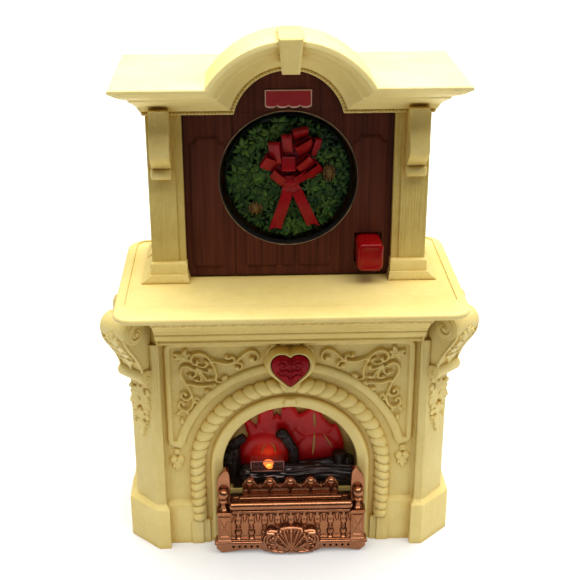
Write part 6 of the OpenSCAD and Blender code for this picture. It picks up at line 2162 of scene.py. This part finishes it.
# ---------------------------------------------------------------- floor, light, camera
fl_me = bpy.data.meshes.new("studio_floor")
fl_me.from_pydata([(-3, -0.26, 0), (3, -0.26, 0), (3, 5.0, 0), (-3, 5.0, 0)], [], [(0, 1, 2, 3)])
floor = bpy.data.objects.new("studio_floor", fl_me)
bpy.context.scene.collection.objects.link(floor)
kf = Nodes("pale_floor")
kf.set("Base Color", kf.mix(kf.rng(kf.noise(3, 2), 0.3, 0.7, 0, 1), (0.60, 0.60, 0.60), (0.57, 0.57, 0.57)))
kf.set("Emission Color", (1.0, 1.0, 1.0))
kf.set("Emission Strength", 0.26)
kf.set("Roughness", kf.rng(kf.noise(8, 2), 0.3, 0.7, 0.6, 0.7))
kf.set("Normal", kf.bump(kf.noise(200, 2), 0.02, 0.0005))
fl_me.materials.append(kf.m)


def area(name, loc, target, size, power, col=(1, 1, 1), size_y=None):
    L = bpy.data.lights.new(name, "AREA")
    L.energy = power
    L.color = col
    L.size = size
    if size_y:
        L.shape = "RECTANGLE"
        L.size_y = size_y
    o = bpy.data.objects.new(name, L)
    o.location = loc
    d = Vector(target) - Vector(loc)
    o.rotation_euler = d.to_track_quat("-Z", "Y").to_euler()
    bpy.context.scene.collection.objects.link(o)
    return o


area("key_top", (0.15, 0.10, 1.6), (0.05, 0.1, 0.0), 2.6, 94.0, (1.0, 0.99, 0.965), 2.6)
world = bpy.data.worlds.new("studio")
bpy.context.scene.world = world
world.use_nodes = True
bg = world.node_tree.nodes["Background"]
bg.inputs[0].default_value = (1, 1, 1, 1)
bg.inputs[1].default_value = 0.15

lampL = bpy.data.lights.new("lamp_glow_light", "POINT")
lampL.energy = 0.0008
lampL.color = (1.0, 0.30, 0.08)
lampL.shadow_soft_size = 0.003
lo_ = bpy.data.objects.new("lamp_glow_light", lampL)
lo_.location = (-0.009, -0.0078, 0.0345)
bpy.context.scene.collection.objects.link(lo_)

cam_d = bpy.data.cameras.new("camera")
cam = bpy.data.objects.new("camera", cam_d)
bpy.context.scene.collection.objects.link(cam)
bpy.context.scene.camera = cam
yaw, pitch, roll = math.radians(1.56), math.radians(24.35), math.radians(-0.33)
fwd = Vector((math.sin(yaw) * math.cos(pitch), math.cos(yaw) * math.cos(pitch), -math.sin(pitch)))
right = Vector((math.cos(yaw), -math.sin(yaw), 0))
up = right.cross(fwd)
r2 = right * math.cos(roll) + up * math.sin(roll)
u2 = -right * math.sin(roll) + up * math.cos(roll)
mw = Matrix.Identity(4)
for i_ in range(3):
    mw[i_][0], mw[i_][1], mw[i_][2] = r2[i_], u2[i_], -fwd[i_]
mw[0][3], mw[1][3], mw[2][3] = -0.0160, -0.42844, 0.29669
cam.matrix_world = mw
cam_d.sensor_width = 36
cam_d.sensor_fit = "HORIZONTAL"
cam_d.lens = 1154.52 / 580 * 36
cam_d.shift_x = (290 - 278) / 580
cam_d.shift_y = (310 - 290) / 580
cam_d.clip_start = 0.01
cam_d.clip_end = 20

sc = bpy.context.scene
sc.view_settings.view_transform = "Standard"
sc.view_settings.look = "None"
sc.view_settings.exposure = 0.0
sc.view_settings.gamma = 0.87

bpy.context.view_layer.update()
